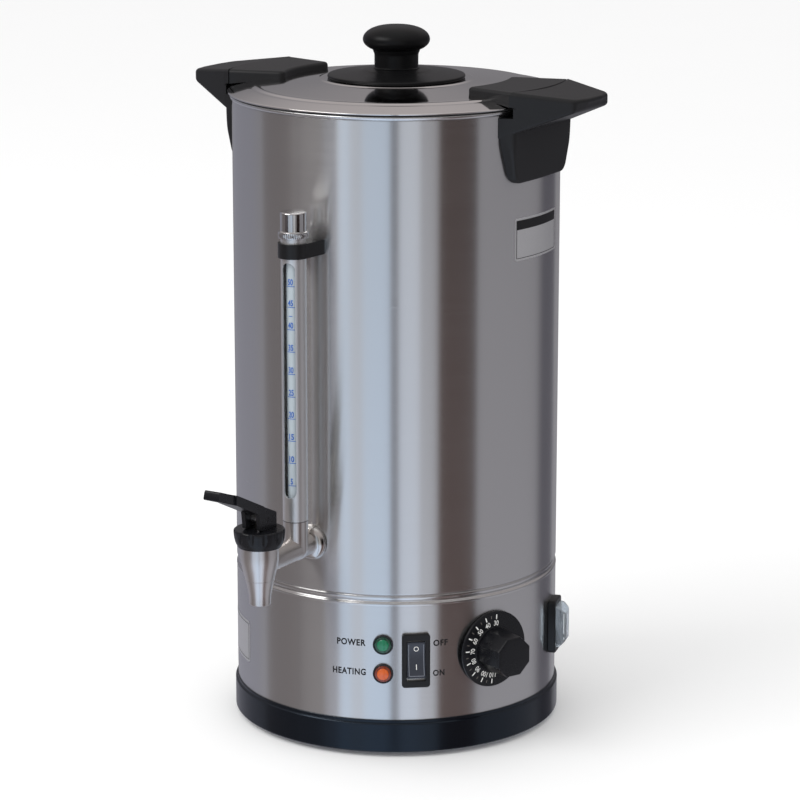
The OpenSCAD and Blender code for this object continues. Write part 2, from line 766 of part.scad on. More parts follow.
// Pockets moulded into the wall side of the grip, with a rib between them
module handle_hollow() {
    low = crease_grip_z + grip_wall;
    high = slot_z0 - grip_wall + 0.4;
    far = bracket_x + (high - low - 0.6) / grip_rise;
    for (y = [-25, 2]) translate([0, y + 23, 0]) rotate([90, 0, 0]) linear_extrude(height = 23)
        polygon([[body_r - 20, low], [bracket_x + 0.8, low], [far, high - 0.4], [far, high],
            [body_r - 20, high]]);
}

module handle_right() {
    color([0.07, 0.07, 0.08]) handle();
}

module handle_left() {
    color([0.07, 0.07, 0.08]) rotate([0, 0, 180]) handle();
}

module handle_screws() {
    color([0.75, 0.76, 0.78])
    for (row = [0, 1]) handle_fixings(row) translate([0, 0, -0.08])
        screw(screw_r, handle_screw_l[row] + 1, 3.6, 2);
}

// ---------------------------------------------------------------- tap

// Steel arm: tail through both walls, arm, and the upright socket that carries the gauge
module tap_arm() {
    color([0.73, 0.71, 0.69])
    difference() {
        union() {
            at_wall(0, tap_z) {
                translate([0, 0, tail_end]) cylinder(r = tail_r, h = body_r + 1 - tail_end);
                translate([0, 0, body_r + 0.8]) cylinder(r = arm_d / 2, h = tap_reach - 3);
            }
            translate([0, gauge_y, tap_z]) cylinder(r = shield_r - 0.1, h = shield_rise);
            translate([0, gauge_y, tap_z]) sphere(r = shield_r - 0.1);
        }
        translate([0, valve_y, 0]) rotate_extrude()
            polygon(concat([[0, spout_z]], cup_outline(), [[0, bonnet_z - 0.2]]));
        at_wall(0, tap_z) translate([0, 0, tail_end - cut])
            cylinder(r = arm_bore / 2, h = body_r + tap_reach);
        translate([0, gauge_y, tap_z]) cylinder(r = glass_r - glass_wall, h = 20);
        translate([0, gauge_y, socket_z]) cylinder(r = glass_r + 2, h = 30);
    }
}

module tap_flange() {
    r = wall_flange_d / 2;
    color([0.76, 0.75, 0.74])
    at_wall(0, tap_z) rotate_extrude() polygon(concat(
        [[arm_d / 2, body_r + 0.8], [r - 1, body_r]],
        arc(arm_d / 2 - 1, body_r - 1, r - arm_d / 2 + 1.2, 14, 76, 6),
        [[arm_d / 2, body_r + 6.4]]));
}

module tap_washers() {
    color([0.55, 0.20, 0.16])
    at_wall(0, tap_z) union() {
        translate([0, 0, tank_in - 2.9]) tube(15, tail_r, 2);
        translate([0, 0, tank_r + 0.1]) tube(14, tail_r, air_gap - 0.9);
    }
}

module tap_lock_nut() {
    color([0.72, 0.70, 0.66])
    at_wall(0, tap_z) difference() {
        translate([0, 0, tank_in - 8.4]) cylinder(r = 15.6, h = 5.5, $fn = 6);
        translate([0, 0, tank_in - 12]) cylinder(r = tail_r, h = 20);
    }
}

// Outside of the valve from the spout's end up to the bonnet
function cup_outline() = concat(
    [[spout_r - 0.4, spout_z], [spout_r, spout_z + 0.5]],
    [for (i = [0 : 12]) let (f = i / 12)
        [spout_r + (cup_r - spout_r) * (0.3 * f + 0.35 * (1 - cos(180 * f))), spout_z + 6 + f * 31]],
    [[cup_r, bonnet_z - 0.2]]);

// Cup-shaped valve body, turned about the upright axis, with its seat inside
module valve_body() {
    color([0.74, 0.72, 0.70])
    difference() {
        translate([0, valve_y, 0]) rotate_extrude() polygon(concat(
            [[spout_bore / 2, spout_z]],
            cup_outline(),
            [[thread_r, bonnet_z - 0.2], [thread_r, cup_top], [thread_r - 2.4, cup_top],
                [thread_r - 2.4, seat_z + 12], [chamber_r, seat_z + 10], [chamber_r, seat_z + 2],
                [chamber_r - 3, seat_z - 2], [spout_bore / 2 + 1.5, seat_z - 2],
                [spout_bore / 2 + 1.2, seat_z],
                [spout_bore / 2, seat_z]]));
        at_wall(0, tap_z) translate([0, 0, body_r + 20]) cylinder(r = arm_bore / 2, h = tap_reach - 20);
    }
}

module tap_bonnet() {
    r = bonnet_d / 2;
    color([0.05, 0.05, 0.06])
    difference() {
        translate([0, valve_y, 0]) rotate_extrude() polygon([
            [stem_r + run, bonnet_top - bonnet_wall], [thread_r, bonnet_top - bonnet_wall],
            [thread_r, bonnet_z],
            [r - 3.1, bonnet_z], [r - 0.9, bonnet_z + 5.5], [r, bonnet_top - 2.6],
            [r - 0.6, bonnet_top - 1],
            [r - 2, bonnet_top], [stem_r + run, bonnet_top]]);
        for (i = [0 : bonnet_lobes - 1])
            translate([0, valve_y, bonnet_z - cut]) rotate([0, 0, (i + 0.5) * 360 / bonnet_lobes])
                translate([r + 1.9, 0, 0]) cylinder(r = 3, h = bonnet_h + 2 * cut);
    }
}

module tap_stem() {
    color([0.70, 0.70, 0.72])
    difference() {
        translate([0, valve_y, 0]) union() {
            translate([0, 0, seat_z + 5.2]) cylinder(r = stem_r, h = pin_z - seat_z - 5.2);
            translate([0, 0, seat_z + 5.2]) cylinder(r = 6.5, h = 4);
            translate([0, 0, collar_z]) cylinder(r = collar_r, h = collar_t);
            translate([-head_half, 0, pin_z]) rotate([0, 90, 0]) cylinder(r = head_r, h = 2 * head_half);
        }
        translate([-20, valve_y, pin_z]) rotate([0, 90, 0]) cylinder(r = pin_r + run, h = 40);
    }
}

// Silicone bell clamped under the bonnet; its plug closes the seat
module tap_seat_cup() {
    color([0.85, 0.84, 0.80])
    translate([0, valve_y, 0]) rotate_extrude() polygon([
        [0, seat_z + 0.1], [spout_bore / 2 + 2.4, seat_z + 0.1], [chamber_r - 3, seat_z + 2],
        [chamber_r - 2.4, seat_z + 8], [chamber_r - 0.9, seat_z + 16], [chamber_r - 0.9, cup_top - 1],
        [thread_r - 2.5, cup_top + 0.1], [thread_r - 0.2, cup_top + 0.1],
        [thread_r - 0.2, bonnet_top - bonnet_wall],
        [chamber_r - 1.3, bonnet_top - bonnet_wall], [chamber_r - 1.8, cup_top - 1],
        [chamber_r - 1.8, seat_z + 16.5],
        [chamber_r - 3.3, seat_z + 8.5], [6.5, seat_z + 5.1], [0, seat_z + 5.1]]);
}

module tap_spring() {
    wire = 0.6;
    coil_r = 5.2;
    turns = 6;
    z0 = collar_z + collar_t + wire;
    z1 = bonnet_top - bonnet_wall - wire;
    steps = 14 * turns;
    color([0.80, 0.80, 0.82])
    translate([0, valve_y, 0])
        swept_tube([for (i = [0 : steps]) let (a = 360 * turns * i / steps)
            [coil_r * cos(a), coil_r * sin(a), z0 + (z1 - z0) * i / steps]], wire, 6);
}

// Outline of the lever's foot below the pin: flat at the back, then an involute, so that the stem
// rises by foot_k for each radian the lever is pressed down
function foot_outline(n) = [for (i = [0 : n])
    let (a = lever_open * 1.05 * i / n, reach = foot_h + foot_k * a * PI / 180)
    [reach * sin(a) + foot_k * cos(a), foot_k * sin(a) - reach * cos(a)]];

module tap_lever() {
    arm_top = 10.5;
    drop = lever_t / cos(arm_slope);
    thumb_z = arm_top + (thumb_start - 3) * tan(arm_slope);
    rise = tan(thumb_slope);
    thumb_end = thumb_z + (lever_l - thumb_start) * rise;
    top_at = function (u) thumb_z - (thumb_start - u) * tan(arm_slope);
    cheek = concat(
        [[-fork_back, -foot_h]],
        foot_outline(8),
        [[foot_k + 6, 0], [foot_k + 7, top_at(foot_k + 7) - drop], [foot_k + 7, top_at(foot_k + 7) - 0.5],
            [-fork_back, top_at(-fork_back)]]);
    arm = rounded([
        [6, top_at(6) - drop], [thumb_start, top_at(thumb_start) - drop], [thumb_start, thumb_z],
        [6, top_at(6)]], [0, 0, 0.8, 0]);
    thumb = rounded([
        [thumb_start - 2, thumb_z - drop + 0.1 - 2 * rise], [lever_l, thumb_end - drop + 0.6],
        [lever_l - 2.4, thumb_end - 0.6], [thumb_start - 2, thumb_z - 0.5 - 2 * rise]], [0, 1.6, 1.6, 0]);
    color([0.05, 0.05, 0.06])
    translate([0, valve_y, pin_z]) rotate([90, 0, -90]) difference() {
        union() {
            for (s = [-1, 1]) translate([0, 0, s > 0 ? lever_w / 2 - cheek_t : -lever_w / 2])
                linear_extrude(height = cheek_t) polygon(cheek);
            translate([0, 0, -lever_w / 2]) linear_extrude(height = lever_w) polygon(arm);
            translate([0, 0, -thumb_w / 2]) linear_extrude(height = thumb_w) polygon(thumb);
        }
        translate([0, 0, -20]) cylinder(r = pin_r, h = 40);
    }
}

module lever_pin() {
    color([0.08, 0.08, 0.085])
    translate([-lever_w / 2, valve_y, pin_z]) rotate([0, 90, 0]) cylinder(r = pin_r, h = lever_w);
}

// ---------------------------------------------------------------- sight gauge

module gauge_shield() {
    color([0.72, 0.71, 0.70])
    difference() {
        translate([0, gauge_y, shield_z]) tube(shield_r, shield_r - shield_wall, shield_l);
        translate([0, gauge_y, slot_z]) rotate([90, 0, gauge_turn]) {
            translate([-slot_w / 2, slot_w / 2, 0]) cube([slot_w, slot_l - slot_w, 20]);
            for (y = [slot_w / 2, slot_l - slot_w / 2]) translate([0, y, 0])
                cylinder(r = slot_w / 2, h = 20);
        }
    }
}

module gauge_glass() {
    color([0.80, 0.86, 0.90, 0.5])
    translate([0, gauge_y, socket_z + 0.1]) tube(glass_r, glass_r - glass_wall, shield_top - socket_z - 1);
}

module gauge_seals() {
    color([0.60, 0.22, 0.18])
    translate([0, gauge_y, 0]) union() {
        translate([0, 0, shield_z - 8]) tube(glass_r + 2, glass_r, 7.9);
        translate([0, 0, shield_top - 6]) tube(shield_r - shield_wall, glass_r, 4);
    }
}

module gauge_cap() {
    r = shield_r + 0.3;
    base = cap_skirt_z;
    mid = base + cap_skirt_h;
    top = mid + cap_h;
    color([0.82, 0.82, 0.83])
    difference() {
        translate([0, gauge_y, 0]) rotate_extrude() polygon([
            [shield_r, base], [r + 1.2, base], [r + 1.5, base + 0.5], [r + 1.5, mid - 0.8],
            [r + 0.4, mid], [r, mid + 0.6],
            [r, top - 1], [r - 1, top], [0, top], [0, top - 2], [shield_r - 3, top - 2],
            [shield_r - 3, shield_top + 0.1],
            [shield_r, shield_top + 0.1]]);
        for (i = [0 : 17]) translate([0, gauge_y, mid + 1.4]) rotate([0, 0, i * 20])
            translate([r + 1.5, 0, 0]) cylinder(r = 2, h = cap_h);
    }
}

module gauge_clip() {
    band = shield_r + 2.2;
    color([0.06, 0.06, 0.07])
    difference() {
        translate([0, 0, clip_z]) linear_extrude(height = clip_h) difference() {
            union() {
                translate([0, gauge_y]) circle(r = band);
                polygon([[-band, gauge_y], [band, gauge_y], [clip_half, -body_r + 6],
                    [-clip_half, -body_r + 6]]);
            }
            translate([0, gauge_y]) circle(r = shield_r);
            circle(r = body_r);
        }
        at_wall(0, clip_z + clip_h / 2) translate([0, 0, body_r - 1]) cylinder(r = screw_r, h = 7.5);
    }
}

module clip_screw() {
    color([0.75, 0.76, 0.78])
    at_wall(0, clip_z + clip_h / 2) translate([0, 0, shell_in - 0.15]) screw(screw_r, 7, 3.6, 2);
}

// ---------------------------------------------------------------- controls

module lamp_places(i) {
    at_wall(lamp_angle, foot_stand + lamp_h - i * lamp_pitch) translate([0, 0, body_r]) children();
}

module lamp_bezels() {
    r = lamp_d / 2;
    color([0.08, 0.08, 0.09])
    for (i = [0, 1]) lamp_places(i) rotate_extrude() polygon([
        [r - 3.4, -18], [r - 2.3, -18], [r - 2.3, 0], [r, 0], [r, 1], [r - 0.5, 1.8], [r - 1.1, 1.8],
        [r - 1.4, 1.2], [r - 3.4, 1.2]]);
}

// Moulded lens with a stepped dome
module lens() {
    r = lamp_d / 2 - 3.4;
    lip = lamp_d / 2 - 1.45;
    rotate_extrude() polygon([[0, -10], [r, -10], [r, 1.2], [lip, 1.2], [lip - 0.2, 2], [lip - 1.2, 2.6],
        [r, 2.8], [r - 0.4, 3.3], [r * 0.5, 3.8], [0, 3.9]]);
}

module green_lens() {
    color([0.05, 0.55, 0.25]) lamp_places(0) lens();
}

module orange_lens() {
    color([0.95, 0.35, 0.08]) lamp_places(1) lens();
}

// Switch frame and its body behind the wall, with bores for the rocker's trunnions
module switch_frame(angle, proud) {
    w = frame_w / 2;
    h = frame_h / 2;
    open_w = rocker_w / 2 + play;
    open_h = rocker_half + 0.9;
    at_wall(angle, switch_z) difference() {
        union() {
            translate([0, 0, body_r]) linear_extrude(height = proud - 0.6)
                polygon(rounded([[-w, -h], [w, -h], [w, h], [-w, h]], [2.5, 2.5, 2.5, 2.5], 4));
            translate([0, 0, body_r + proud - 0.7]) linear_extrude(height = 0.7)
                polygon(rounded([[-w + 0.5, -h + 0.5], [w - 0.5, -h + 0.5], [w - 0.5, h - 0.5],
                    [-w + 0.5, h - 0.5]],
                    [2, 2, 2, 2], 4));
            translate([-w + 1, -h + 2, body_r - 24]) cube([2 * w - 2, 2 * h - 4, 24.5]);
            for (x = [-4, 4]) for (y = [-10, 10])
                translate([x - 0.4, y - 3.1, body_r - 33]) cube([0.8, 6.2, 10]);
        }
        translate([-open_w, -open_h, body_r + proud - 20]) cube([2 * open_w, 2 * open_h, 30]);
        translate([-w + 2, 0, body_r + proud - pivot_sink]) rotate([0, 90, 0])
            cylinder(r = trunnion_r + run, h = 2 * w - 4);
    }
}

// Rocker with a shallow V across it, at rest with its upper end pressed in
module switch_rocker(angle, proud) {
    edge = rocker_half;
    face = [[-edge + 0.6, -3], [-3, -9], [3, -9], [edge - 0.6, -3], [edge - 0.25, 3], [edge - 1.2, 8.2],
        [edge - 2, 8.7],
        [0, 6.4], [-edge + 2, 8.7], [-edge + 1.2, 8.2], [-edge + 0.25, 3]];
    at_wall(angle, switch_z) translate([0, 0, body_r + proud - pivot_sink]) rotate([-rocker_tilt, 0, 0])
        union() {
        translate([-rocker_w / 2, 0, 0]) rotate([90, 0, 90]) linear_extrude(height = rocker_w)
            polygon(face);
        translate([-frame_w / 2 + 2.4, 0, 0]) rotate([0, 90, 0])
            cylinder(r = trunnion_r, h = frame_w - 4.8);
    }
}

module rocker_frame() {
    color([0.05, 0.05, 0.06]) switch_frame(rocker_angle, front_proud);
}

module front_rocker() {
    color([0.10, 0.10, 0.12]) switch_rocker(rocker_angle, front_proud);
}

module side_switch_frame() {
    color([0.05, 0.05, 0.06]) switch_frame(side_angle, side_proud);
}

module side_rocker() {
    color([0.12, 0.12, 0.14]) switch_rocker(side_angle, side_proud);
}

// Clear soft cover over the side rocker
module side_boot() {
    w = rocker_w / 2 + 2.2;
    h = rocker_half + 1.5;
    top = side_proud + boot_h;
    side = rounded([[-h, side_proud], [h, side_proud], [h - 0.4, side_proud + 3], [h - 5.5, top],
        [-h + 5.5, top], [-h + 0.4, side_proud + 3]], [0, 0, 2.5, 2.5, 2.5, 2.5], 4);
    inner = rounded([[-h + boot_wall, side_proud - 1], [h - boot_wall, side_proud - 1],
        [h - 0.4 - boot_wall, side_proud + 2.6],
        [h - 5.9, top - boot_wall], [-h + 5.9, top - boot_wall], [-h + 0.4 + boot_wall, side_proud + 2.6]],
        [0, 0, 1.5, 1.5, 1.5, 1.5], 4);
    color([0.80, 0.84, 0.88, 0.5])
    at_wall(side_angle, switch_z) difference() {
        intersection() {
            translate([-w, 0, body_r]) rotate([90, 0, 90]) linear_extrude(height = 2 * w) polygon(side);
            translate([0, h + 1, body_r]) rotate([90, 0, 0]) linear_extrude(height = 2 * h + 2)
                polygon(rounded([
                [-w, side_proud], [w, side_proud], [w - 1, top], [-w + 1, top]], [0, 0, 3, 3], 4));
        }
        translate([-w + boot_wall, 0, body_r]) rotate([90, 0, 90])
            linear_extrude(height = 2 * w - 2 * boot_wall)
            polygon(inner);
    }
}

// Dial: skirt with the scale and an eight-sided grip, in one moulding
module dial() {
    r = dial_d / 2;
    grip = dial_grip / 2 / cos(22.5);
    z0 = skirt_z + skirt_t;
    color([0.05, 0.05, 0.06])
    at_wall(dial_angle, dial_z) difference() {
        union() {
            rotate_extrude() polygon([[0, skirt_z], [r - 0.6, skirt_z], [r, skirt_z + 0.6],
                [r, skirt_z + 1.4],
                [r - 0.8, skirt_z + 2.1], [grip + 2.2, z0], [grip + 1.6, z0 + 0.8], [0, z0 + 0.8]]);
            translate([0, 0, z0]) rotate([0, 0, 22.5])
                cylinder(r1 = grip + 1.1, r2 = grip, h = body_r + dial_reach - z0 - 1, $fn = 8);
            translate([0, 0, body_r + dial_reach - 1.01]) rotate([0, 0, 22.5])
                cylinder(r1 = grip, r2 = grip - 1, h = 1.01, $fn = 8);
        }
        translate([0, 0, skirt_z - cut]) cylinder(r = spindle_d / 2, h = 17);
    }
}

module dial_spindle() {
    color([0.78, 0.78, 0.80])
    at_wall(dial_angle, dial_z) translate([0, 0, spindle_in])
        cylinder(r = spindle_d / 2, h = skirt_z + 15 - spindle_in);
}

base_ring();
base_plate();
base_screws();
feet();
lower_shell();
upper_shell();
inner_tank();
heat_plate();
heating_element();
boil_dry_cutout();
thermostat_body();
thermostat_bulb();
terminal_block();
cable_gland();
gland_nut();
lid_pan();
knob_plate();
lid_knob();
knob_screw();
lid_lug_left();
lid_lug_right();
lug_screws();
lid_seal();
handle_left();
handle_right();
handle_screws();
tap_arm();
tap_flange();
tap_washers();
tap_lock_nut();
valve_body();
tap_bonnet();
tap_stem();
tap_seat_cup();
tap_spring();
tap_lever();
lever_pin();
gauge_shield();
gauge_glass();
gauge_seals();
gauge_cap();
gauge_clip();
clip_screw();
lamp_bezels();
green_lens();
orange_lens();
rocker_frame();
front_rocker();
side_switch_frame();
side_rocker();
side_boot();
dial();
dial_spindle();
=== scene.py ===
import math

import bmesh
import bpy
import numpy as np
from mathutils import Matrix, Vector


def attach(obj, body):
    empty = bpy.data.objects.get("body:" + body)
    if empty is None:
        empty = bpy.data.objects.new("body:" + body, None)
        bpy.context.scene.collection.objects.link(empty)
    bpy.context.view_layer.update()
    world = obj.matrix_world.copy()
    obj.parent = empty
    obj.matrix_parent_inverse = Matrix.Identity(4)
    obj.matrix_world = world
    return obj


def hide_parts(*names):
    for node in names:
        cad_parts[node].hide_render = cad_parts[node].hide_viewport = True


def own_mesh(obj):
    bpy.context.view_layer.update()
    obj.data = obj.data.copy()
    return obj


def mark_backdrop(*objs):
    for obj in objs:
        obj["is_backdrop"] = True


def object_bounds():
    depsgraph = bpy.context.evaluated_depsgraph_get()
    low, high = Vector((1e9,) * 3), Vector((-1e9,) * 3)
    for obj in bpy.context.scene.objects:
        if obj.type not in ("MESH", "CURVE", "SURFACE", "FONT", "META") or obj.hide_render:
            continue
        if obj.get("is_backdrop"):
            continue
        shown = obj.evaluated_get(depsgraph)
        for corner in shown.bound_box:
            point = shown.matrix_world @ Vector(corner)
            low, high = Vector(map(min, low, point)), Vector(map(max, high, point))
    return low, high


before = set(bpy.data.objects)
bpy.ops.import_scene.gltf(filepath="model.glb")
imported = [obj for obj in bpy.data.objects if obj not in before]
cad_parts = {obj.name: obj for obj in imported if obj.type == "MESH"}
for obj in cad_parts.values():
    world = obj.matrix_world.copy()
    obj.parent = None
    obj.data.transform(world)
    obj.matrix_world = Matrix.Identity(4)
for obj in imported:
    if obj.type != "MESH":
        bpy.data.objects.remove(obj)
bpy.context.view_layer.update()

# %% [markdown]
# # A hot water urn, piece by piece
#
# The urn is a round steel boiler that stands on a black moulded ring. Water goes in from above, under a
# lid that lifts off, and comes out of a lever tap at the front. A glass tube beside the tap shows how
# full it is. The controls are two lamps, two rocker switches and a thermostat dial, low on the wall.
#
# The CAD model gives every piece its place, its size and its motion. This script gives the pieces their
# finer surfaces and finishes. All numbers below are millimetres, and one function turns them into metres
# at the end, because drawings of appliances are in millimetres and Blender works in metres.

MM = 0.001

# %% [markdown]
# ## The view
#
# A product like this is shown from a little above the lid, turned so that the tap and the controls are
# both seen. A long lens from a distance keeps the upright sides nearly parallel, the way a catalogue
# shows a boiler.

# %% Camera
camera_data = bpy.data.cameras.new("studio_camera")
camera_data.lens = 144.6
camera_data.sensor_width = 36
camera_data.shift_x = 0.0044
camera_data.shift_y = 0.0
camera_data.clip_end = 50
camera = bpy.data.objects.new("studio_camera", camera_data)
camera.location = (1.3249, -2.2049, 0.8842)
camera.rotation_euler = (math.radians(76.414), 0, math.radians(31))
bpy.context.collection.objects.link(camera)
bpy.context.scene.camera = camera
camera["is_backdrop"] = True
bpy.context.scene.view_settings.view_transform = "Standard"
print("camera looks from", [round(v, 2) for v in camera.location])

# %% [markdown]
# ## Surfaces as tables of places
#
# Almost every piece of an urn is turned on a lathe, pressed from sheet or moulded with an even edge. Each
# such surface is a table of places: rows go round the piece and columns go along its section. NumPy works
# out the whole table in one step, and neighbouring places make the faces.
#
# A real edge is never perfectly sharp. A rolled, deburred or moulded edge catches a thin line of light,
# and without that line a picture looks computed. So sections get small round corners first.

# %% Sections: round corners, smooth curves and arcs
def rounded(points, radii, steps=6):
    """A closed section with round corners. The arc's centre lies on the corner's bisector at the radius
    divided by the sine of half the corner's angle, and its ends are where it touches both sides."""
    p = np.asarray(points, float)
    r = np.broadcast_to(np.asarray(radii, float), (len(p),))
    before = np.roll(p, 1, 0) - p
    after = np.roll(p, -1, 0) - p
    before = before / np.linalg.norm(before, axis=1, keepdims=True)
    after = after / np.linalg.norm(after, axis=1, keepdims=True)
    half = np.arccos(np.clip((before * after).sum(1), -0.99999, 0.99999)) / 2
    bisector = before + after
    bisector = bisector / np.linalg.norm(bisector, axis=1, keepdims=True)
    centre = p + bisector * (r / np.sin(half))[:, None]
    start = p + before * (r / np.tan(half))[:, None] - centre
    end = p + after * (r / np.tan(half))[:, None] - centre
    sweep = math.pi - 2 * half
    f = np.linspace(0, 1, steps + 1)
    a = np.sin((1 - f) * sweep[:, None]) / np.sin(sweep)[:, None]
    b = np.sin(f * sweep[:, None]) / np.sin(sweep)[:, None]
    arcs = centre[:, None] + start[:, None] * a[..., None] + end[:, None] * b[..., None]
    return arcs.reshape(-1, 2)


def guarded(section, gap=0.35):
    """Puts a place near each end of every long straight part of a closed section, so that the smooth shading
    of its round corners doesn't spread over the flat between them."""
    p = np.asarray(section, float)
    ahead = np.roll(p, -1, 0) - p
    length = np.linalg.norm(ahead, axis=1, keepdims=True)
    share = np.clip(gap / np.maximum(length, 1e-9), 0, 0.25)
    return np.stack([p, p + ahead * share, p + ahead * (1 - share)], 1).reshape(-1, 2)[
        np.repeat(length[:, 0] > 3 * gap, 3) | (np.arange(3 * len(p)) % 3 == 0)]


def smooth_through(points, steps=6):
    """A smooth open curve through points: between two of them it is the cubic whose slope at each is half
    the way from the point before to the point after."""
    p = np.asarray(points, float)
    q = np.vstack([2 * p[0] - p[1], p, 2 * p[-1] - p[-2]])
    f = np.linspace(0, 1, steps, endpoint=False)[None, :, None]
    a, b, c, d = (q[i : len(q) - 3 + i][:, None] for i in range(4))
    curve = 0.5 * (2 * b + (c - a) * f + (2 * a - 5 * b + 4 * c - d) * f**2 + (3 * b - a - 3 * c + d) * f**3)
    return np.vstack([curve.reshape(-1, 2), p[-1:]])


def arc(cx, cy, r, start, end, steps=10):
    """Places on a circle about (cx, cy) from one angle to another, in degrees."""
    a = np.radians(np.linspace(start, end, steps + 1))
    return np.column_stack([cx + r * np.cos(a), cy + r * np.sin(a)])


print("a square with round corners has", len(rounded([[0, 0], [9, 0], [9, 9], [0, 9]], 1)), "places")

# %% Surfaces: turned, lofted and tube
def grid_faces(rows, columns, wrap_rows, wrap_columns):
    """Quads between neighbouring rows and columns of a table, as four place numbers each."""
    i = np.arange(rows if wrap_rows else rows - 1)[:, None]
    j = np.arange(columns if wrap_columns else columns - 1)[None, :]
    i2, j2 = (i + 1) % rows, (j + 1) % columns
    corners = i * columns + j, i2 * columns + j, i2 * columns + j2, i * columns + j2
    return np.stack(np.broadcast_arrays(*corners), -1).reshape(-1, 4).tolist()


def turned(section, around=128, closed=True, shape=None):
    """A section (radius, height) carried round the upright axis: x is radius times cosine, y radius times
    sine. shape, if given, changes the radii from the angle, radius and height, for lobes or ribs."""
    s = guarded(section) if closed else np.asarray(section, float)
    t = np.linspace(0, 2 * math.pi, around, endpoint=False)[:, None]
    r = np.broadcast_to(s[None, :, 0], (around, len(s)))
    z = np.broadcast_to(s[None, :, 1], (around, len(s)))
    if shape is not None:
        r = shape(t, r, z)
    places = np.stack([r * np.cos(t), r * np.sin(t), z], -1)
    return places.reshape(-1, 3), grid_faces(around, len(s), True, closed)


def drawn_in(outline, amount):
    """The outline with each of its sides moved in by that side's amount. A corner goes where the two moved
    sides cross. Where they are nearly in line it goes along their bisector. The outline runs
    counterclockwise."""
    side = np.roll(outline, -1, 0) - outline
    m2 = np.column_stack([-side[:, 1], side[:, 0]]) / np.linalg.norm(side, axis=1, keepdims=True)
    m1 = np.roll(m2, 1, 0)
    e2 = np.broadcast_to(amount, (len(outline),))
    e1 = np.roll(e2, 1)
    turn = m1[:, 0] * m2[:, 1] - m1[:, 1] * m2[:, 0]
    sharp = np.abs(turn) > 0.4
    crossing = np.column_stack([e1 * m2[:, 1] - e2 * m1[:, 1], e2 * m1[:, 0] - e1 * m2[:, 0]])
    crossing = crossing / np.where(sharp, turn, 1.0)[:, None]
    bisector = (m1 + m2) * ((e1 + e2) / 2 / (1 + (m1 * m2).sum(1)))[:, None]
    return outline + np.where(sharp[:, None], crossing, bisector)


def lofted(rings):
    """Closed rings of as many places each, joined one to the next, with one face on both ends."""
    rings = np.asarray(rings, float)
    rows, n = rings.shape[:2]
    faces = grid_faces(rows, n, False, True)
    faces += [list(range(n)), list(range((rows - 1) * n, rows * n))]
    return rings.reshape(-1, 3), faces


def ring_at(outline, height):
    """An outline (x, y) with a height for each place."""
    return np.column_stack([outline, np.broadcast_to(height, (len(outline),))])


def tube(path, radius, sides=12):
    """A round rod carried along a path, with flat ends: two directions square to the path's own carry the
    circle, the first of them level."""
    p = np.asarray(path, float)
    t = np.gradient(p, axis=0)
    t = t / np.linalg.norm(t, axis=1, keepdims=True)
    side = np.cross(t, [0.0, 0.0, 1.0])
    side = side / np.linalg.norm(side, axis=1, keepdims=True)
    up = np.cross(side, t)
    a = np.linspace(0, 2 * math.pi, sides, endpoint=False)[None, :, None]
    return lofted(p[:, None] + radius * (side[:, None] * np.cos(a) + up[:, None] * np.sin(a)))


def moved(surface, y=0.0, z=0.0):
    """The same surface, shifted."""
    return surface[0] + np.array([0.0, y, z]), surface[1]


def on_wall(surface, angle, height):
    """Stands a surface on the wall: its own z points outwards from the urn's axis, its y up. The angle is
    from the tap towards the controls, in degrees."""
    c, s = math.cos(math.radians(angle)), math.sin(math.radians(angle))
    x, y, z = surface[0].T
    return np.column_stack([x * c + z * s, x * s - z * c, y + height]), surface[1]


def opposite(surface):
    """The same surface, turned half way round the urn's axis."""
    return surface[0] * [-1, -1, 1], surface[1]


def joined(surfaces):
    """Several surfaces as one: all their places, and their faces with the numbers moved on to match."""
    starts = np.cumsum([0] + [len(places) for places, _ in surfaces[:-1]])
    faces = [[v + int(start) for v in face] for (_, some), start in zip(surfaces, starts) for face in some]
    return np.vstack([places for places, _ in surfaces]), faces


print("helpers for turned pieces, lofts and rods are ready")

# %% [markdown]
# ## From tables to pieces
#
# A piece is one Blender object that moves with one part of the urn and stands in for one or more CAD
# nodes. Places that fall together, at a seam or on the axis, are merged, and then all faces are turned
# outwards. Faces are shaded smooth except across edges of more than about 35 degrees.
#
# Mouldings with flat faces keep the CAD's own shape. A copy of it is merged, its flat triangles are
# joined into whole faces, and a bevel rounds its edges.

# %% Making pieces
MERGE = 2e-6


def places_of(mesh):
    """A mesh's places as a table."""
    flat = np.empty(len(mesh.vertices) * 3)
    mesh.vertices.foreach_get("co", flat)
    return flat.reshape(-1, 3)


def mesh_of(name, places, faces):
    """A plain mesh from a table of places and its faces."""
    mesh = bpy.data.meshes.new(name)
    mesh.from_pydata(places.tolist(), [], faces)
    return mesh


def worked(places, faces):
    """The same surface as a BMesh, in which it can be merged and cut."""
    raw = mesh_of("raw", places, faces)
    bm = bmesh.new()
    bm.from_mesh(raw)
    bpy.data.meshes.remove(raw)
    return bm


def cleaned(bm, name):
    """Writes a merged mesh with outward faces and smooth shading."""
    bmesh.ops.remove_doubles(bm, verts=bm.verts, dist=MERGE)
    bmesh.ops.recalc_face_normals(bm, faces=bm.faces)
    mesh = bpy.data.meshes.new(name)
    bm.to_mesh(mesh)
    bm.free()
    mesh.shade_smooth()
    mesh.set_sharp_from_angle(angle=math.radians(35))
    return mesh


def placed(name, mesh, finish, body, node=None):
    """Makes the object, gives it its finish and body, and hides the CAD node that it stands for."""
    made = bpy.data.objects.new(name, mesh)
    bpy.context.collection.objects.link(made)
    mesh.materials.clear()
    mesh.materials.append(finishes[finish])
    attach(made, body)
    if node:
        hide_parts(node)
    return made


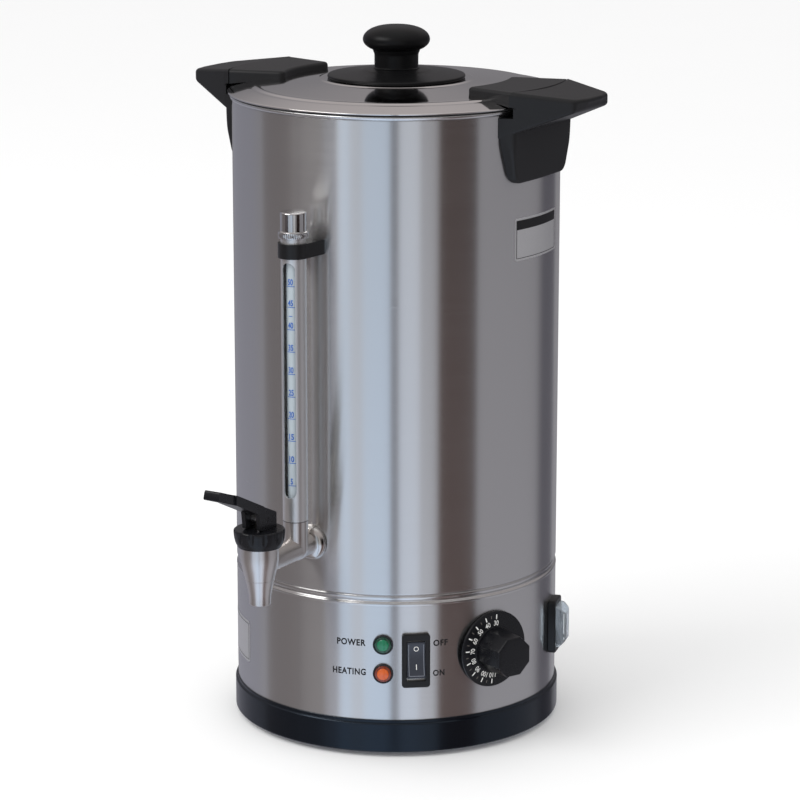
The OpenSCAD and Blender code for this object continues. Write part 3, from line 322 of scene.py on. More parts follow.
def piece(node, surfaces, finish, body="urn", slot=None, name=None):
    """One object from one or more surfaces in millimetres. It stands for a CAD node, or for none. The node
    gives its name where no other is given. slot is not used."""
    places, faces = joined(surfaces if isinstance(surfaces, list) else [surfaces])
    name = name or node + "_piece"
    slot = slot or (finish if node else None)
    return placed(name, cleaned(worked(places * MM, faces), name), finish, body, node)


def softened(node, finish, width, body="urn", steps=3):
    """A copy of a CAD node with whole faces and round edges."""
    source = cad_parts[node]
    world = np.array(source.matrix_world)
    corners = np.empty(len(source.data.loops), int)
    source.data.loops.foreach_get("vertex_index", corners)
    bm = worked(places_of(source.data) @ world[:3, :3].T + world[:3, 3], corners.reshape(-1, 3).tolist())
    bmesh.ops.remove_doubles(bm, verts=bm.verts, dist=MERGE)
    bmesh.ops.dissolve_limit(bm, angle_limit=math.radians(0.4), verts=bm.verts, edges=bm.edges)
    name = node + "_piece"
    made = placed(name, cleaned(bm, name), finish, body, node)
    bevel = made.modifiers.new("edges", "BEVEL")
    bevel.width = width * MM
    bevel.segments = steps
    bevel.miter_outer = "MITER_ARC"
    bevel.harden_normals = True
    bevel.limit_method = "ANGLE"
    bevel.angle_limit = math.radians(38)
    bevel.use_clamp_overlap = True


def printed(name, surfaces, finish, body="urn"):
    """Ink, foil or a painted highlight: an open skin of faces that all look outwards, kept as it is."""
    places, faces = joined(surfaces)
    placed(name, mesh_of(name, places * MM, faces), finish, body)


print("pieces are made in millimetres and stored in metres")

# %% [markdown]
# ## Finishes as formulas
#
# A finish is a graph of nodes, and graphs are hard to read as text. The small class below lets a socket be
# used like a number, so that `0.2 + 0.1 * scratches` makes the Math nodes by itself. Every finish works on
# the piece's own coordinates in metres, so its grain stays on the piece when the piece moves.

# %% Sockets that can be added and multiplied
class Value:
    """A socket that makes Math nodes when it is used in a formula."""

    def __init__(self, finish, socket):
        self.finish, self.socket = finish, socket

    def math(self, operation, *others):
        made = self.finish.tree.nodes.new("ShaderNodeMath")
        made.operation = operation
        for i, given in enumerate((self,) + others):
            self.finish.feed(made.inputs[i], given)
        return Value(self.finish, made.outputs[0])

    def __add__(self, other):
        return self.math("ADD", other)

    def __sub__(self, other):
        return self.math("SUBTRACT", other)

    def __rsub__(self, other):
        return (self * -1) + other

    def __mul__(self, other):
        return self.math("MULTIPLY", other)

    __radd__, __rmul__ = __add__, __mul__

    def step(self, low, high):
        """0 below low, 1 above high, and smooth between."""
        made = self.finish.tree.nodes.new("ShaderNodeMapRange")
        made.interpolation_type = "SMOOTHSTEP"
        self.finish.feed(made.inputs["Value"], self)
        made.inputs["From Min"].default_value = low
        made.inputs["From Max"].default_value = high
        return Value(self.finish, made.outputs["Result"])

    def mix(self, first, second):
        """The first colour where this is 0, the second where it is 1."""
        made = self.finish.tree.nodes.new("ShaderNodeMix")
        made.data_type = "RGBA"
        self.finish.feed(made.inputs["Factor"], self)
        self.finish.feed(made.inputs["A"], first, made.inputs[6])
        self.finish.feed(made.inputs["B"], second, made.inputs[7])
        return Value(self.finish, made.outputs[2])


finishes = {}


class Finish:
    """One material: its node tree, its Principled shader, and short ways to add nodes. It is kept under its
    name, for the pieces to find."""

    def __init__(self, name, tree=None):
        if tree is None:
            material = finishes[name] = bpy.data.materials.new(name)
            material.use_nodes = True
            tree = material.node_tree
            self.shader = tree.nodes["Principled BSDF"]
        self.tree = tree
        self._place = None

    def feed(self, socket, given, instead=None):
        socket = instead or socket
        if isinstance(given, Value):
            self.tree.links.new(given.socket, socket)
        elif isinstance(given, (tuple, list)) and len(given) == 3 and socket.type == "RGBA":
            socket.default_value = (*given, 1.0)
        else:
            socket.default_value = given

    def node(self, kind, output, settings=None, **inputs):
        """Any other node: its settings first, then its inputs by name, and one output as a Value."""
        made = self.tree.nodes.new(kind)
        for key, given in (settings or {}).items():
            setattr(made, key, given)
        for key, given in inputs.items():
            self.feed(made.inputs[key.replace("_", " ")], given)
        return Value(self, made.outputs[output])

    def place(self, scale=(1.0, 1.0, 1.0)):
        """The piece's own coordinates, stretched along each axis."""
        if self._place is None:
            self._place = self.node("ShaderNodeTexCoord", "Object")
        return self.node("ShaderNodeMapping", "Vector", Vector=self._place, Scale=scale)

    def noise(self, scale, detail=3.0, roughness=0.55):
        """Soft cloudy noise from 0 to 1, with that many waves a metre along each axis."""
        scale = (scale,) * 3 if isinstance(scale, (int, float)) else scale
        return self.node("ShaderNodeTexNoise", "Fac", Vector=self.place(scale), Scale=1.0, Detail=detail,
                         Roughness=roughness)

    def axes(self):
        """The piece's x, y and z in metres."""
        made = self.tree.nodes.new("ShaderNodeSeparateXYZ")
        self.feed(made.inputs[0], self.place())
        return [Value(self, made.outputs[i]) for i in range(3)]

    def bump(self, height, distance, strength=1.0):
        """Feeds small relief into the normal: distance is its depth in millimetres."""
        self.set(Normal=self.node("ShaderNodeBump", "Normal", Height=height, Distance=distance * MM,
                                  Strength=strength))

    def set(self, **inputs):
        for key, given in inputs.items():
            self.feed(self.shader.inputs[key.replace("_", " ")], given)


print("formulas can now be written on sockets")

# %% [markdown]
# ## Brushed steel
#
# The wall is rolled from stainless sheet with a fine grain that runs round the urn. Light that strikes
# such a grain spreads across it, up and down, so reflections turn into upright bands. The anisotropy does
# that. Hundreds of faint grain lines, made by squeezing noise along the height, keep the bands from
# looking like plastic, and a few wide clouds stand for the wiping cloth.

# %% Wall and tap steel
def brushed(name, colour, grain, roughness, smear, lines=0.05, turn=0.25, relief=0.002):
    """Steel with a grain: noise squeezed along the axis that the grain crosses."""
    f = Finish(name)
    fine = f.noise(grain, detail=2.0)
    coarse = f.noise(tuple(g * 0.23 for g in grain), detail=2.0)
    clouds = f.noise(9.0, detail=4.0)
    streak = 0.6 * fine + 0.4 * coarse
    tone = (streak - 0.5) * lines + (clouds - 0.5) * 0.04 + 0.5
    dark = tuple(c * 0.86 for c in colour)
    light = tuple(min(c * 1.12, 1.0) for c in colour)
    f.set(Base_Color=tone.mix(dark, light), Metallic=1.0,
          Roughness=roughness + (streak - 0.5) * 0.1 + (clouds - 0.5) * 0.05,
          Anisotropic=smear, Anisotropic_Rotation=turn)
    if relief:
        f.bump(streak, relief, 0.5)


brushed("wall_steel", (0.7, 0.695, 0.69), (22.0, 22.0, 2600.0), 0.245, 0.96, 0.03, relief=0.001)
brushed("tap_steel", (0.72, 0.69, 0.67), (90.0, 90.0, 3200.0), 0.32, 0.5)
brushed("shield_steel", (0.84, 0.83, 0.82), (1400.0, 1400.0, 60.0), 0.42, 0.0, 0.03, relief=0.0)
print("steels:", *finishes)

# %% [markdown]
# ## Polished and dull metals
#
# The lid is polished on a wheel, which leaves rings so fine that only a soft haze gives them away. The
# domed flange behind the tap and the cap of the gauge are buffed until they mirror the room. Inside, the
# tank is left satin, the plate under it is galvanised, with the frost-like crystals of hot zinc, and the
# heater block is cast aluminium with a sandy skin.

# %% Other metals
def metal(name, colour, roughness, cloud=0.05, speckle=0.0, scale=60.0, depth=0.0):
    """Plain metal with clouds in its gloss and, if asked for, a speckle in its colour and height."""
    f = Finish(name)
    clouds = f.noise(14.0, detail=4.0)
    grain = f.noise(scale, detail=5.0, roughness=0.6)
    dark = tuple(c * (1 - speckle) for c in colour)
    f.set(Base_Color=grain.step(0.3, 0.7).mix(dark, colour), Metallic=1.0,
          Roughness=roughness + (clouds - 0.5) * cloud + (grain - 0.5) * cloud)
    if depth:
        f.bump(grain, depth, 0.6)


def polished(name, colour, roughness, rings):
    """Metal polished in rings about the upright axis: noise of the distance from it."""
    f = Finish(name)
    x, y, _ = f.axes()
    distance = (x * x + y * y).math("SQRT")
    lines = f.node("ShaderNodeTexNoise", "Fac", {"noise_dimensions": "1D"}, W=distance, Scale=rings,
                   Detail=2.0)
    clouds = f.noise(11.0, detail=4.0)
    dark = tuple(c * 0.94 for c in colour)
    f.set(Base_Color=lines.mix(dark, colour), Metallic=1.0,
          Roughness=roughness + (lines - 0.5) * 0.05 + (clouds - 0.5) * 0.05)
    f.bump(lines, 0.002, 0.35)


polished("lid_steel", (0.8, 0.78, 0.77), 0.06, 2200.0)
polished("tank_steel", (0.76, 0.76, 0.76), 0.24, 900.0)
metal("cap_chrome", (0.68, 0.67, 0.67), 0.13, 0.04)
metal("flange_chrome", (0.62, 0.6, 0.58), 0.15, 0.03)
metal("black_steel", (0.035, 0.035, 0.038), 0.38, 0.08, 0.1, 400.0)
metal("screw_steel", (0.75, 0.76, 0.78), 0.22, 0.06, 0.05, 400.0)
metal("plate_steel", (0.6, 0.61, 0.62), 0.38, 0.1, 0.22, 120.0)
metal("heat_aluminium", (0.78, 0.79, 0.8), 0.48, 0.1, 0.15, 900.0, 0.04)
metal("element_sheath", (0.36, 0.33, 0.31), 0.42, 0.1, 0.25, 260.0, 0.01)
metal("copper", (0.72, 0.4, 0.25), 0.28, 0.1, 0.12, 180.0)
metal("label_foil", (0.92, 0.92, 0.91), 0.5, 0.04, 0.03, 700.0)
print("metals so far:", len(finishes))

# %% [markdown]
# ## Plastics, rubber and glass
#
# Black plastic that is handled comes out of a spark-eroded mould, so it has a fine leathery grain that
# breaks up its shine. The knob, the nut on the tap and the dial are smoother and show soft highlights.
# Glass, lenses and the switch's rubber cover let light through, and their tint and haze are set rather
# than painted, because what is seen behind them should change with the view.

# %% Plastics, rubber, glass and inks
def plastic(name, colour, roughness, grain=700.0, depth=0.012, cloud=0.06, shine=0.5, tint=(1.0, 1.0, 1.0)):
    """Moulded plastic: an even colour, a leathery grain in its height and clouds in its gloss."""
    f = Finish(name)
    clouds = f.noise(22.0, detail=4.0)
    skin = f.noise(grain, detail=3.0)
    dust = f.noise(2600.0, detail=2.0).step(0.66, 0.8)
    light = tuple(c * 1.25 + 0.002 for c in colour)
    f.set(Base_Color=(clouds * 0.7 + dust * 0.3).mix(colour, light), Metallic=0.0,
          Roughness=roughness + (clouds - 0.5) * cloud + (skin - 0.5) * 0.05,
          Specular_IOR_Level=shine, Specular_Tint=tint)
    f.bump(skin, depth, 0.7)


def clear(name, colour, roughness, ior, through=1.0, cloud=0.02, depth=0.0, scale=300.0):
    """Clear material: light passes through it, tinted, with a trace of haze."""
    f = Finish(name)
    haze = f.noise(30.0, detail=3.0)
    ripple = f.noise(scale, detail=2.0)
    deep = tuple(c * 0.93 for c in colour)
    f.set(Base_Color=haze.mix(deep, colour), Metallic=0.0, IOR=ior, Transmission_Weight=through,
          Roughness=roughness + (haze - 0.5) * cloud)
    if depth:
        f.bump(ripple, depth, 0.5)


plastic("black_plastic", (0.008, 0.008, 0.009), 0.45, shine=0.32)
# The blue tint of the base ring's shine, and the faint blue in its black, are a painted bluish reflection.
plastic("ring_plastic", (0.0018, 0.0022, 0.004), 0.2, shine=0.45, tint=(0.62, 0.8, 1.0))
plastic("knob_plastic", (0.0036, 0.0036, 0.004), 0.34, 420.0, 0.004, 0.05, shine=0.16)
plastic("dial_plastic", (0.006, 0.0062, 0.008), 0.28, 420.0, 0.004, 0.05, shine=0.3)
plastic("switch_plastic", (0.0065, 0.0065, 0.0075), 0.34, 900.0, 0.01, shine=0.32)
plastic("bezel_plastic", (0.005, 0.005, 0.006), 0.16, 420.0, 0.002)
plastic("rocker_plastic", (0.024, 0.028, 0.04), 0.24, 420.0, 0.003)
# Lighter bluish grey for strips along the front rocker's edges: a painted edge highlight.
plastic("rocker_edge_highlight", (0.15, 0.165, 0.2), 0.26, 420.0, 0.003)
plastic("glazed_ceramic", (0.8, 0.77, 0.68), 0.18, 160.0, 0.01, 0.05, 0.5)
plastic("foot_rubber", (0.02, 0.02, 0.02), 0.78, 500.0, 0.02)
plastic("seal_rubber", (0.025, 0.025, 0.025), 0.62, 500.0, 0.01)
plastic("red_silicone", (0.42, 0.075, 0.045), 0.5, 500.0, 0.006)
plastic("white_silicone", (0.74, 0.72, 0.67), 0.42, 500.0, 0.006)
clear("gauge_glass", (0.6, 0.68, 0.74), 0.16, 1.47, 0.35)
clear("clear_silicone", (0.8, 0.86, 0.92), 0.16, 1.41, 0.92, 0.04, 0.02)
plastic("black_ink", (0.006, 0.006, 0.007), 0.45, 900.0, 0.002, shine=0.3)
plastic("white_ink", (0.8, 0.8, 0.78), 0.45, 900.0, 0.002)
plastic("grey_ink", (0.17, 0.155, 0.14), 0.45, 900.0, 0.002)
plastic("blue_ink", (0.012, 0.085, 0.36), 0.4, 900.0, 0.002)
print("finishes so far:", len(finishes))

# %% [markdown]
# The lenses of the two lamps are moulded with a ribbed inside that scatters the small bulb behind. The
# flat band round the dome is given much deeper tints than the dome: painted shade for the dark housing under
# it.

# %% Lamp lenses
def lens_finish(name, colour, core):
    """Tinted plastic with a haze of a lighter tint, over a ribbed back."""
    f = Finish(name)
    haze = f.noise(260.0, detail=2.0)
    ribs = f.noise((60.0, 60.0, 1500.0), detail=1.0)
    f.set(Base_Color=haze.mix(colour, core), Metallic=0.0, IOR=1.49, Transmission_Weight=0.25,
          Roughness=0.1 + (haze - 0.5) * 0.04, Coat_Weight=0.6, Coat_Roughness=0.05)
    f.bump(ribs, 0.03, 0.3)


lens_finish("green_lens", (0.004, 0.14, 0.065), (0.01, 0.24, 0.11))
# The bands get much deeper tints than the lenses: painted shade for the dark housing behind them.
lens_finish("green_band", (0.001, 0.035, 0.016), (0.002, 0.06, 0.03))
lens_finish("orange_lens", (0.56, 0.075, 0.008), (0.8, 0.16, 0.02))
lens_finish("orange_band", (0.13, 0.016, 0.003), (0.24, 0.035, 0.006))
print("lenses:", *list(finishes)[-4:])

# %% [markdown]
# ## Base ring, foot plate and feet
#
# The urn stands on four rubber feet that hold its ring about four millimetres clear of the table. The ring
# is one black moulding. A thin lip at its top hugs the wall and hides the cut edge of the steel, which is
# why the ring looks like a thick band with a finer line above it.

# %% Base ring and what is under it
body_r = 132.5
ring_r = 134.7
ring_section = rounded(
    [[ring_r - 3, 4], [ring_r - 1, 4], [ring_r, 5], [ring_r, 27.6], [ring_r - 0.9, 28.5],
     [body_r + 0.9, 28.5], [body_r + 0.9, 31], [body_r + 0.05, 31], [body_r + 0.05, 16], [124, 16],
     [124, 12.5], [ring_r - 3, 12.5]],
    [0.5, 0.3, 0.6, 0.5, 0.5, 0.3, 0.35, 0.1, 0.3, 0.5, 0.5, 0.5])
piece("base_ring", turned(ring_section, 192), "ring_plastic")
softened("base_plate", "plate_steel", 0.25)
softened("base_screws", "screw_steel", 0.35)
softened("feet", "foot_rubber", 0.8)
print("base ring is", 2 * ring_r, "mm across")

# %% [markdown]
# ## The two walls
#
# The lower housing holds the heater and the wiring. It is pressed in at its top into a shallow groove,
# and the upper wall drops over it. That rolled joint shows as one thin dark line with a soft bright edge
# on each side. Both walls are one millimetre thick. They are drawn whole here: every opening in the CAD's
# walls lies under a switch, a lamp, the dial, the tap's flange or a screwed-on piece that covers it.

# %% Lower housing and upper wall
neck = smooth_through([[132.5, 124.5], [132.5, 126.2], [132.75, 127.1], [132.5, 128.0], [131.7, 128.6],
                       [131.1, 129.2], [131.0, 129.9], [131.6, 131.0], [132.0, 132.4], [131.8, 133.7],
                       [131.3, 134.3]])
lower_section = np.vstack([[body_r, 16.05], [body_r, 60], neck, [131.15, 134.9], [131.15, 140], [130.4, 140],
                           [130.4, 131], [130.1, 129], [130.1, 127], [body_r - 1, 126], [body_r - 1, 16.05]])
piece("lower_shell", turned(lower_section, 256), "wall_steel", name="lower_housing")
upper_section = rounded([[body_r - 1, 135], [body_r, 135], [body_r, 514], [body_r - 1, 514]],
                        [0.1, 0.8, 0.3, 0.1])
piece("upper_shell", turned(upper_section, 256), "wall_steel", name="upper_wall")
print("walls from 16 to 514 mm")

# %% [markdown]
# ## Tank, rim and heater
#
# The tank is a deep-drawn pot. Its brim is rolled outwards into a bead that sits on the upper wall, and
# that bead is the bright line just below the lid. The heater is cast into a plate under the floor, where
# it can't be touched by the water. These pieces keep the CAD's surfaces and get their own finishes.

# %% Finishes for the pieces that stay as they are
for finish, nodes in {
    "tank_steel": ["inner_tank"], "heat_aluminium": ["heat_plate"], "element_sheath": ["heating_element"],
    "glazed_ceramic": ["boil_dry_cutout", "terminal_block"], "switch_plastic": ["thermostat_body"],
    "copper": ["thermostat_bulb"], "red_silicone": ["tap_washers", "gauge_seals"], "tap_steel": ["tap_stem"],
    "screw_steel": ["knob_screw", "lug_screws", "handle_screws", "clip_screw", "dial_spindle"],
}.items():
    for node in nodes:
        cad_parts[node].data.materials.clear()
        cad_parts[node].data.materials.append(finishes[finish])
softened("tap_lock_nut", "tap_steel", 0.4)
softened("cable_gland", "black_plastic", 0.35)
softened("gland_nut", "black_plastic", 0.35)
print("tank, heater and hidden fittings have their finishes")

# %% [markdown]
# ## Lid
#
# The lid is a pressed pan. Its outer flange slopes up to a crease, and from there a lower cone rises to
# the black plate in the middle. Its skirt drops into the tank and a rubber ring seals it. The crease is a
# small rounded step, pressed for stiffness, and a low bead runs round the plate. Both bend the reflections
# of the room into rings.

# %% Lid pan
lid_r, lid_edge, crease_r, crease_z, plate_r, plate_z = 136.0, 519.8, 114.0, 524.6, 55.5, 529.8


def lid_height(r):
    """Height of the lid's upper face at a distance from the axis."""
    return np.where(r > crease_r, lid_edge + 4.8 * (lid_r - r) / 22.0,
                    np.where(r > plate_r, crease_z + 5.2 * (crease_r - r) / (crease_r - plate_r), plate_z))


lid_line = np.array([[57.0, -0.05], [58.2, 0.1], [59.6, 0.42], [61.0, 0.45], [62.4, 0.12], [63.8, -0.03],
                     [68, 0], [90, 0], [107, 0], [110.2, -0.05], [111.6, 0.05], [113.2, 0.24], [114.6, 0.22],
                     [116.2, -0.12], [117.6, -0.2], [119.4, -0.05], [122, 0], [130, 0], [135, 0]])
top = smooth_through(lid_line + lid_height(lid_line[:, :1]) * [0, 1], 8)
lid_section = np.vstack([
    [0, plate_z], [plate_r - 2, plate_z], [plate_r, plate_z - 0.05], top,
    arc(135.4, lid_edge - 0.52, 0.6, 70, -90, 8), [133.8, 519.3], [123.55, 521.4], [123.5, 508.15],
    arc(123.0, 508.15, 0.5, 0, -180, 6), [122.5, 508.15], [122.5, 521.7], [crease_r, crease_z - 1.1],
    [plate_r, plate_z - 1], [0, plate_z - 1]])
piece("lid_pan", turned(lid_section, 256, closed=False), "lid_steel", "lid")
print("lid reaches", lid_r, "mm from the axis")

# %% Seal under the lid. Its lip reaching out under the lid's edge is a dark band put in as painted shade for the shadow gap there.
seal_and_shade_lip_section = rounded([[123.8, 515.95], [125.2, 515.95], [125.2, 518.05], [135.1, 518.05], [135.1, 518.6],
                        [133.4, 519.1], [123.8, 521.1]], 0.2, 3)
piece("lid_seal", turned(seal_and_shade_lip_section, 192), "seal_rubber", "seal")
print("seal reaches under the lid's edge")

# %% [markdown]
# The plate under the knob keeps fingers off the hot lid. It is a flat cone with a thick rounded edge. The
# knob is a mushroom: a short neck, and a cap wider than it is high, so that it can be gripped from above
# with a cloth.

# %% Plate and knob
knob_z, neck_r, knob_r = 537.4, 17.7, 27.0
plate_section = np.vstack([
    [0, plate_z], [plate_r - 0.9, plate_z], arc(plate_r - 1.4, plate_z + 1.4, 1.4, -70, 78, 10),
    smooth_through([[plate_r - 3.2, plate_z + 3.1], [neck_r + 14, knob_z - 2.3], [neck_r + 8, knob_z - 1.0],
                    [neck_r + 3, knob_z - 0.25], [neck_r - 1, knob_z]], 6), [0, knob_z]])
piece("knob_plate", turned(plate_section, 192, closed=False), "knob_plastic", "lid", "black_plastic")
bulb_z = 560.4
a = np.radians(np.linspace(-50, 90, 40))
bulb = np.column_stack([knob_r * np.cos(a).clip(0) ** 0.78, bulb_z + np.where(a < 0, 10.5, 11.6) * np.sin(a)])
stalk = smooth_through([
    [neck_r + 0.9, knob_z + 0.15], [neck_r + 0.25, knob_z + 0.7], [neck_r, knob_z + 1.8],
    [neck_r, knob_z + 8], [neck_r + 0.15, knob_z + 11.4], [neck_r + 0.9, knob_z + 13.2]], 6)
knob_section = np.vstack([[0, knob_z], [neck_r + 0.7, knob_z], stalk, bulb, [0, 572.0]])
piece("lid_knob", turned(knob_section, 128, closed=False), "knob_plastic", "lid", "black_plastic")
print("knob is", 2 * knob_r, "mm wide and ends at", 572.0)

# %% [markdown]
# ## Lugs and handles
#
# The handles hang on the wall and the lugs sit on the lid, and at rest they line up as if they were one
# moulding. The gap between them is where the lid comes off. Both are hollow black mouldings with flat
# tops, sloped undersides and generous edges, so that a full urn doesn't cut into the fingers.

# %% Lugs
lug_in, lug_out, lug_top = 91.6, 138.5, 532.2
round_off = np.radians(np.linspace(0, 90, 7))


def lug():
    """The plan runs along an outer and an inner circle and two straight sides. Its sides stand on the lid,
    and its upper edge is a quarter circle that is small at the seam to the handle."""
    wide, narrow = math.degrees(math.asin(47.2 / lug_out)), math.degrees(math.asin(35.2 / lug_in))
    plan = np.vstack([arc(0, 0, lug_out, -wide, wide, 18), arc(0, 0, lug_in, narrow, -narrow, 12)])
    radii = np.zeros(len(plan))
    radii[[19, -1]] = 4.8
    plan = rounded(plan, radii)
    plan = plan[np.linalg.norm(np.roll(plan, -1, 0) - plan, axis=1) > 1e-4]
    seam = lug_out - 0.3
    edge = np.where(np.hypot(*((plan + np.roll(plan, -1, 0)) / 2).T) > seam, 0.7, 2.8)
    corner = np.where(np.hypot(*plan.T) > seam, 0.7, 2.8)
    corner[[0, 18]] = 2.8
    rings = []
    for size in (0.3, 0.65, 0.9, 1.0):
        low = plan * size + np.array([115.0, 0.0]) * (1 - size)
        r = np.hypot(*low.T)
        rings.append(ring_at(low, np.where(r > lid_r, 520.6, lid_height(r) - 0.15)))
    rings.append(ring_at(plan, lug_top - corner - 0.3))
    for a in round_off:
        rings.append(ring_at(drawn_in(plan, edge * (1 - math.cos(a))), lug_top - corner * (1 - math.sin(a))))
    rings.append(ring_at(drawn_in(plan, edge + 0.4), lug_top))
    return lofted(rings)


piece("lid_lug_right", lug(), "black_plastic", "lid")
piece("lid_lug_left", opposite(lug()), "black_plastic", "lid")
print("lugs from", lug_in, "to", lug_out, "mm from the axis")

# %% [markdown]
# A handle has two parts in one moulding. The grip is a wedge, cut back at the rim so that the lid can
# turn over it. The bracket below it is flat in front and hollow behind, to lie against the round wall, and
# it narrows downwards to round corners.

# %% Handles
wall_side, cut_side = 132.6, 139
bracket_low, bend_z, bracket_top = 459.5, 500.6, 505


def beside(x):
    """Half the grip's width at a distance from the axis, inwards of its bend."""
    return 46.4 + (135.5 - x) * 0.3565


def grip_plan(r_in, sunk):
    """The grip's outline in plan, down to a circle about the urn's axis. Its end leans in with depth: sunk is
    0 at the top and 1 at the underside."""
    x = r_in
    for _ in range(8):
        x = math.sqrt(r_in**2 - beside(x) ** 2)
    outer = rounded([[112.5, -54.6], [135.5, -46.4], [177.5, -28], [181.7, -10.8], [181.7, 10.8], [177.5, 28],
                     [135.5, 46.4], [112.5, 54.6]], [0.01, 12, 9, 14, 14, 9, 12, 0.01], 7)
    outer = outer[outer[:, 0] > 134.0]
    outer[:, 0] -= np.clip(outer[:, 0] - 177, 0, None) * sunk
    reach = math.degrees(math.atan2(beside(x), x))
    return np.vstack([[x, -beside(x)], outer, [x, beside(x)], arc(0, 0, r_in, reach - 1.5, 1.5 - reach, 15)])


def grip():
    """Rings from the top to the underside: a rounded upper edge, the cut for the rim, a rounded lower edge.
    Both faces are sloping planes."""
    number = np.arange(len(grip_plan(cut_side, 0)))
    rim = number >= len(number) - 17
    inner = number > len(number) - 17
    edge, drop, low_edge = np.where(rim, 0.5, 3.0), np.where(inner, 0.5, 3.0), np.where(rim, 0, 2.3)
    rings = []

    def top(sunk, inset, below):
        plan = drawn_in(grip_plan(cut_side, sunk), inset)
        rings.append(ring_at(plan, 532.5 - (plan[:, 0] - 131) * 0.1105 - below))

    def underside(sunk, inset, above):
        plan = drawn_in(grip_plan(wall_side, sunk), inset)
        rings.append(ring_at(plan, bend_z + (plan[:, 0] - 135.5) * 0.4048 + above))

    top(0, edge + 0.4, 0)
    for a in round_off[::-1]:
        top(0.3 * (1 - math.sin(a)), edge * (1 - math.cos(a)), drop * (1 - math.sin(a)))
    for r_in, height, share in ((cut_side, 528.0, 0.05), (cut_side, 521.0, 0.35), (141.5, 521.0, 0.38),
                                (141.5, 512.1, 0.66), (wall_side, 512.1, 0.7), (wall_side, 504.0, 0.95)):
        plan = grip_plan(r_in, 0.3 + 0.46 * share)
        high, low = 529.5 - (plan[:, 0] - 131) * 0.1105, bend_z + 2.3 + (plan[:, 0] - 135.5) * 0.4048
        rings.append(ring_at(plan, np.where(rim | (number == 0), height, high + (low - high) * share)))
    for a in round_off:
        underside(1 - 0.24 * (1 - math.sin(a)), low_edge * (1 - math.cos(a)), 2.3 * (1 - math.sin(a)))
    underside(1.0, np.where(rim, 0, 2.7), 0)
    return lofted(rings)


def bracket():
    """Level rings: in front a straight line with round corners, behind the wall's circle. The half width
    grows with height along a sloping side with a round lower corner."""
    side_line = [[0, bracket_low], [40.5, bracket_low], [51, bend_z], [52.2, bracket_top], [0, bracket_top]]
    corner = rounded(side_line, [0.01, 10, 0.01, 0.01, 0.01], 10)[11:22]
    high = np.array([475, 482, 487, 492, 498, bracket_top])
    above = np.interp(high, [bracket_low, bend_z, bracket_top], [40.5, 51, 52.2])
    half, z = np.vstack([corner, np.column_stack([above, high])]).T[:, :, None]
    half = half - 0.05
    face = 133.5 + np.minimum(z - bracket_low, 41.1) * 2 / 41.1
    back = np.sqrt(wall_side**2 - np.minimum(half, 50.3) ** 2)
    width = lambda x: np.minimum(half, beside(x) - 0.05)
    side_x = back + (face - 4.3 - back) * np.linspace(0, 1, 7)
    side = np.stack([side_x, width(side_x)], -1)
    start, tip, end = (np.stack([face - a, width(face - a) - b], -1) for a, b in ((4, 0), (0, 0), (0, 4)))
    b = np.linspace(0, 1, 8)[:, None]
    curve = (1 - b) ** 2 * start + 2 * b * (1 - b) * tip + b**2 * end
    line_y = (width(face) - 4.4) * np.linspace(-1, 1, 15)
    line = np.stack([np.broadcast_to(face, line_y.shape), line_y], -1)
    around = np.radians(np.linspace(1, -1, 15)[1:-1]) * np.degrees(np.arctan2(side[:, :1, 1], side[:, :1, 0]))
    wall = np.stack([wall_side * np.cos(around), wall_side * np.sin(around)], -1)
    right = np.concatenate([side, curve], 1)
    x, y = np.moveaxis(np.concatenate([right * [1, -1], line, right[:, ::-1], wall], 1), -1, 0)
    inset = 1.8 - np.sqrt(1.8**2 - np.clip(1.8 - (z - bracket_low), 0, 1.8) ** 2)
    x = x - inset * np.clip((x - np.sqrt(wall_side**2 - y**2)) / 4, 0.0, 1)
    return lofted(np.stack([x, y, np.broadcast_to(z, x.shape)], -1))


piece("handle_right", [grip(), bracket()], "black_plastic")
piece("handle_left", [opposite(grip()), opposite(bracket())], "black_plastic")
print("two lugs and two handles")

# %% [markdown]
# ## The tap
#
# The tap is turned from steel. A horizontal arm comes out of the wall through a domed flange that hides
# its hole. At the arm's end hangs the cup, wide at the top and drawn in to the spout. A silicone bell
# inside closes the seat. The black nut on top has twelve shallow lobes for the fingers, because it is
# undone by hand for cleaning.

# %% Arm, flange and cup
tap_z, valve_y, gauge_y = 174.0, -206.0, -154.4
cup_r = 15.1
softened("tap_arm", "tap_steel", 0.35)
dome = smooth_through([[14.6, 133.9], [14.1, 135.2], [12.9, 136.9], [11.2, 138.2], [9.9, 138.8]], 5)
lip = arc(14.0, 133.2, 0.65, -90, 0, 5)
flange_section = np.vstack([[9.3, 133.3], [13.7, 132.55], lip, dome, [9.3, 138.9]])
piece("tap_flange", on_wall(turned(flange_section, 96), 0, tap_z), "flange_chrome", slot="tap_steel")
cup_curve = smooth_through([[8.5, 142.9], [8.55, 145.5], [8.8, 149], [9.7, 154.5], [11.1, 161], [12.7, 167.5],
                            [14.1, 173], [14.85, 177.5], [cup_r, 181.5]])
cup_section = np.vstack([
    [5.5, 142.3], arc(5.9, 142.4, 0.4, 180, 270, 4), arc(8.0, 142.5, 0.5, -90, 0, 5), cup_curve, [cup_r, 182],
    [cup_r, 188.3], [14.8, 188.5], [14.0, 188.5], [14.0, 198.0], [11.6, 198.0], [11.6, 172.2], [11.5, 170.0],
    [11.5, 162.0], [8.5, 158.0], [7.0, 158.0], [6.7, 160.0], [5.5, 160.0]])
piece("valve_body", moved(turned(cup_section, 128), y=valve_y), "tap_steel")
print("cup is", 2 * cup_r, "mm wide")

# %% Bonnet nut with its lobes
lobe_count, groove_at, groove_r, root_r = 12, 22.0, 3.0, 17.3


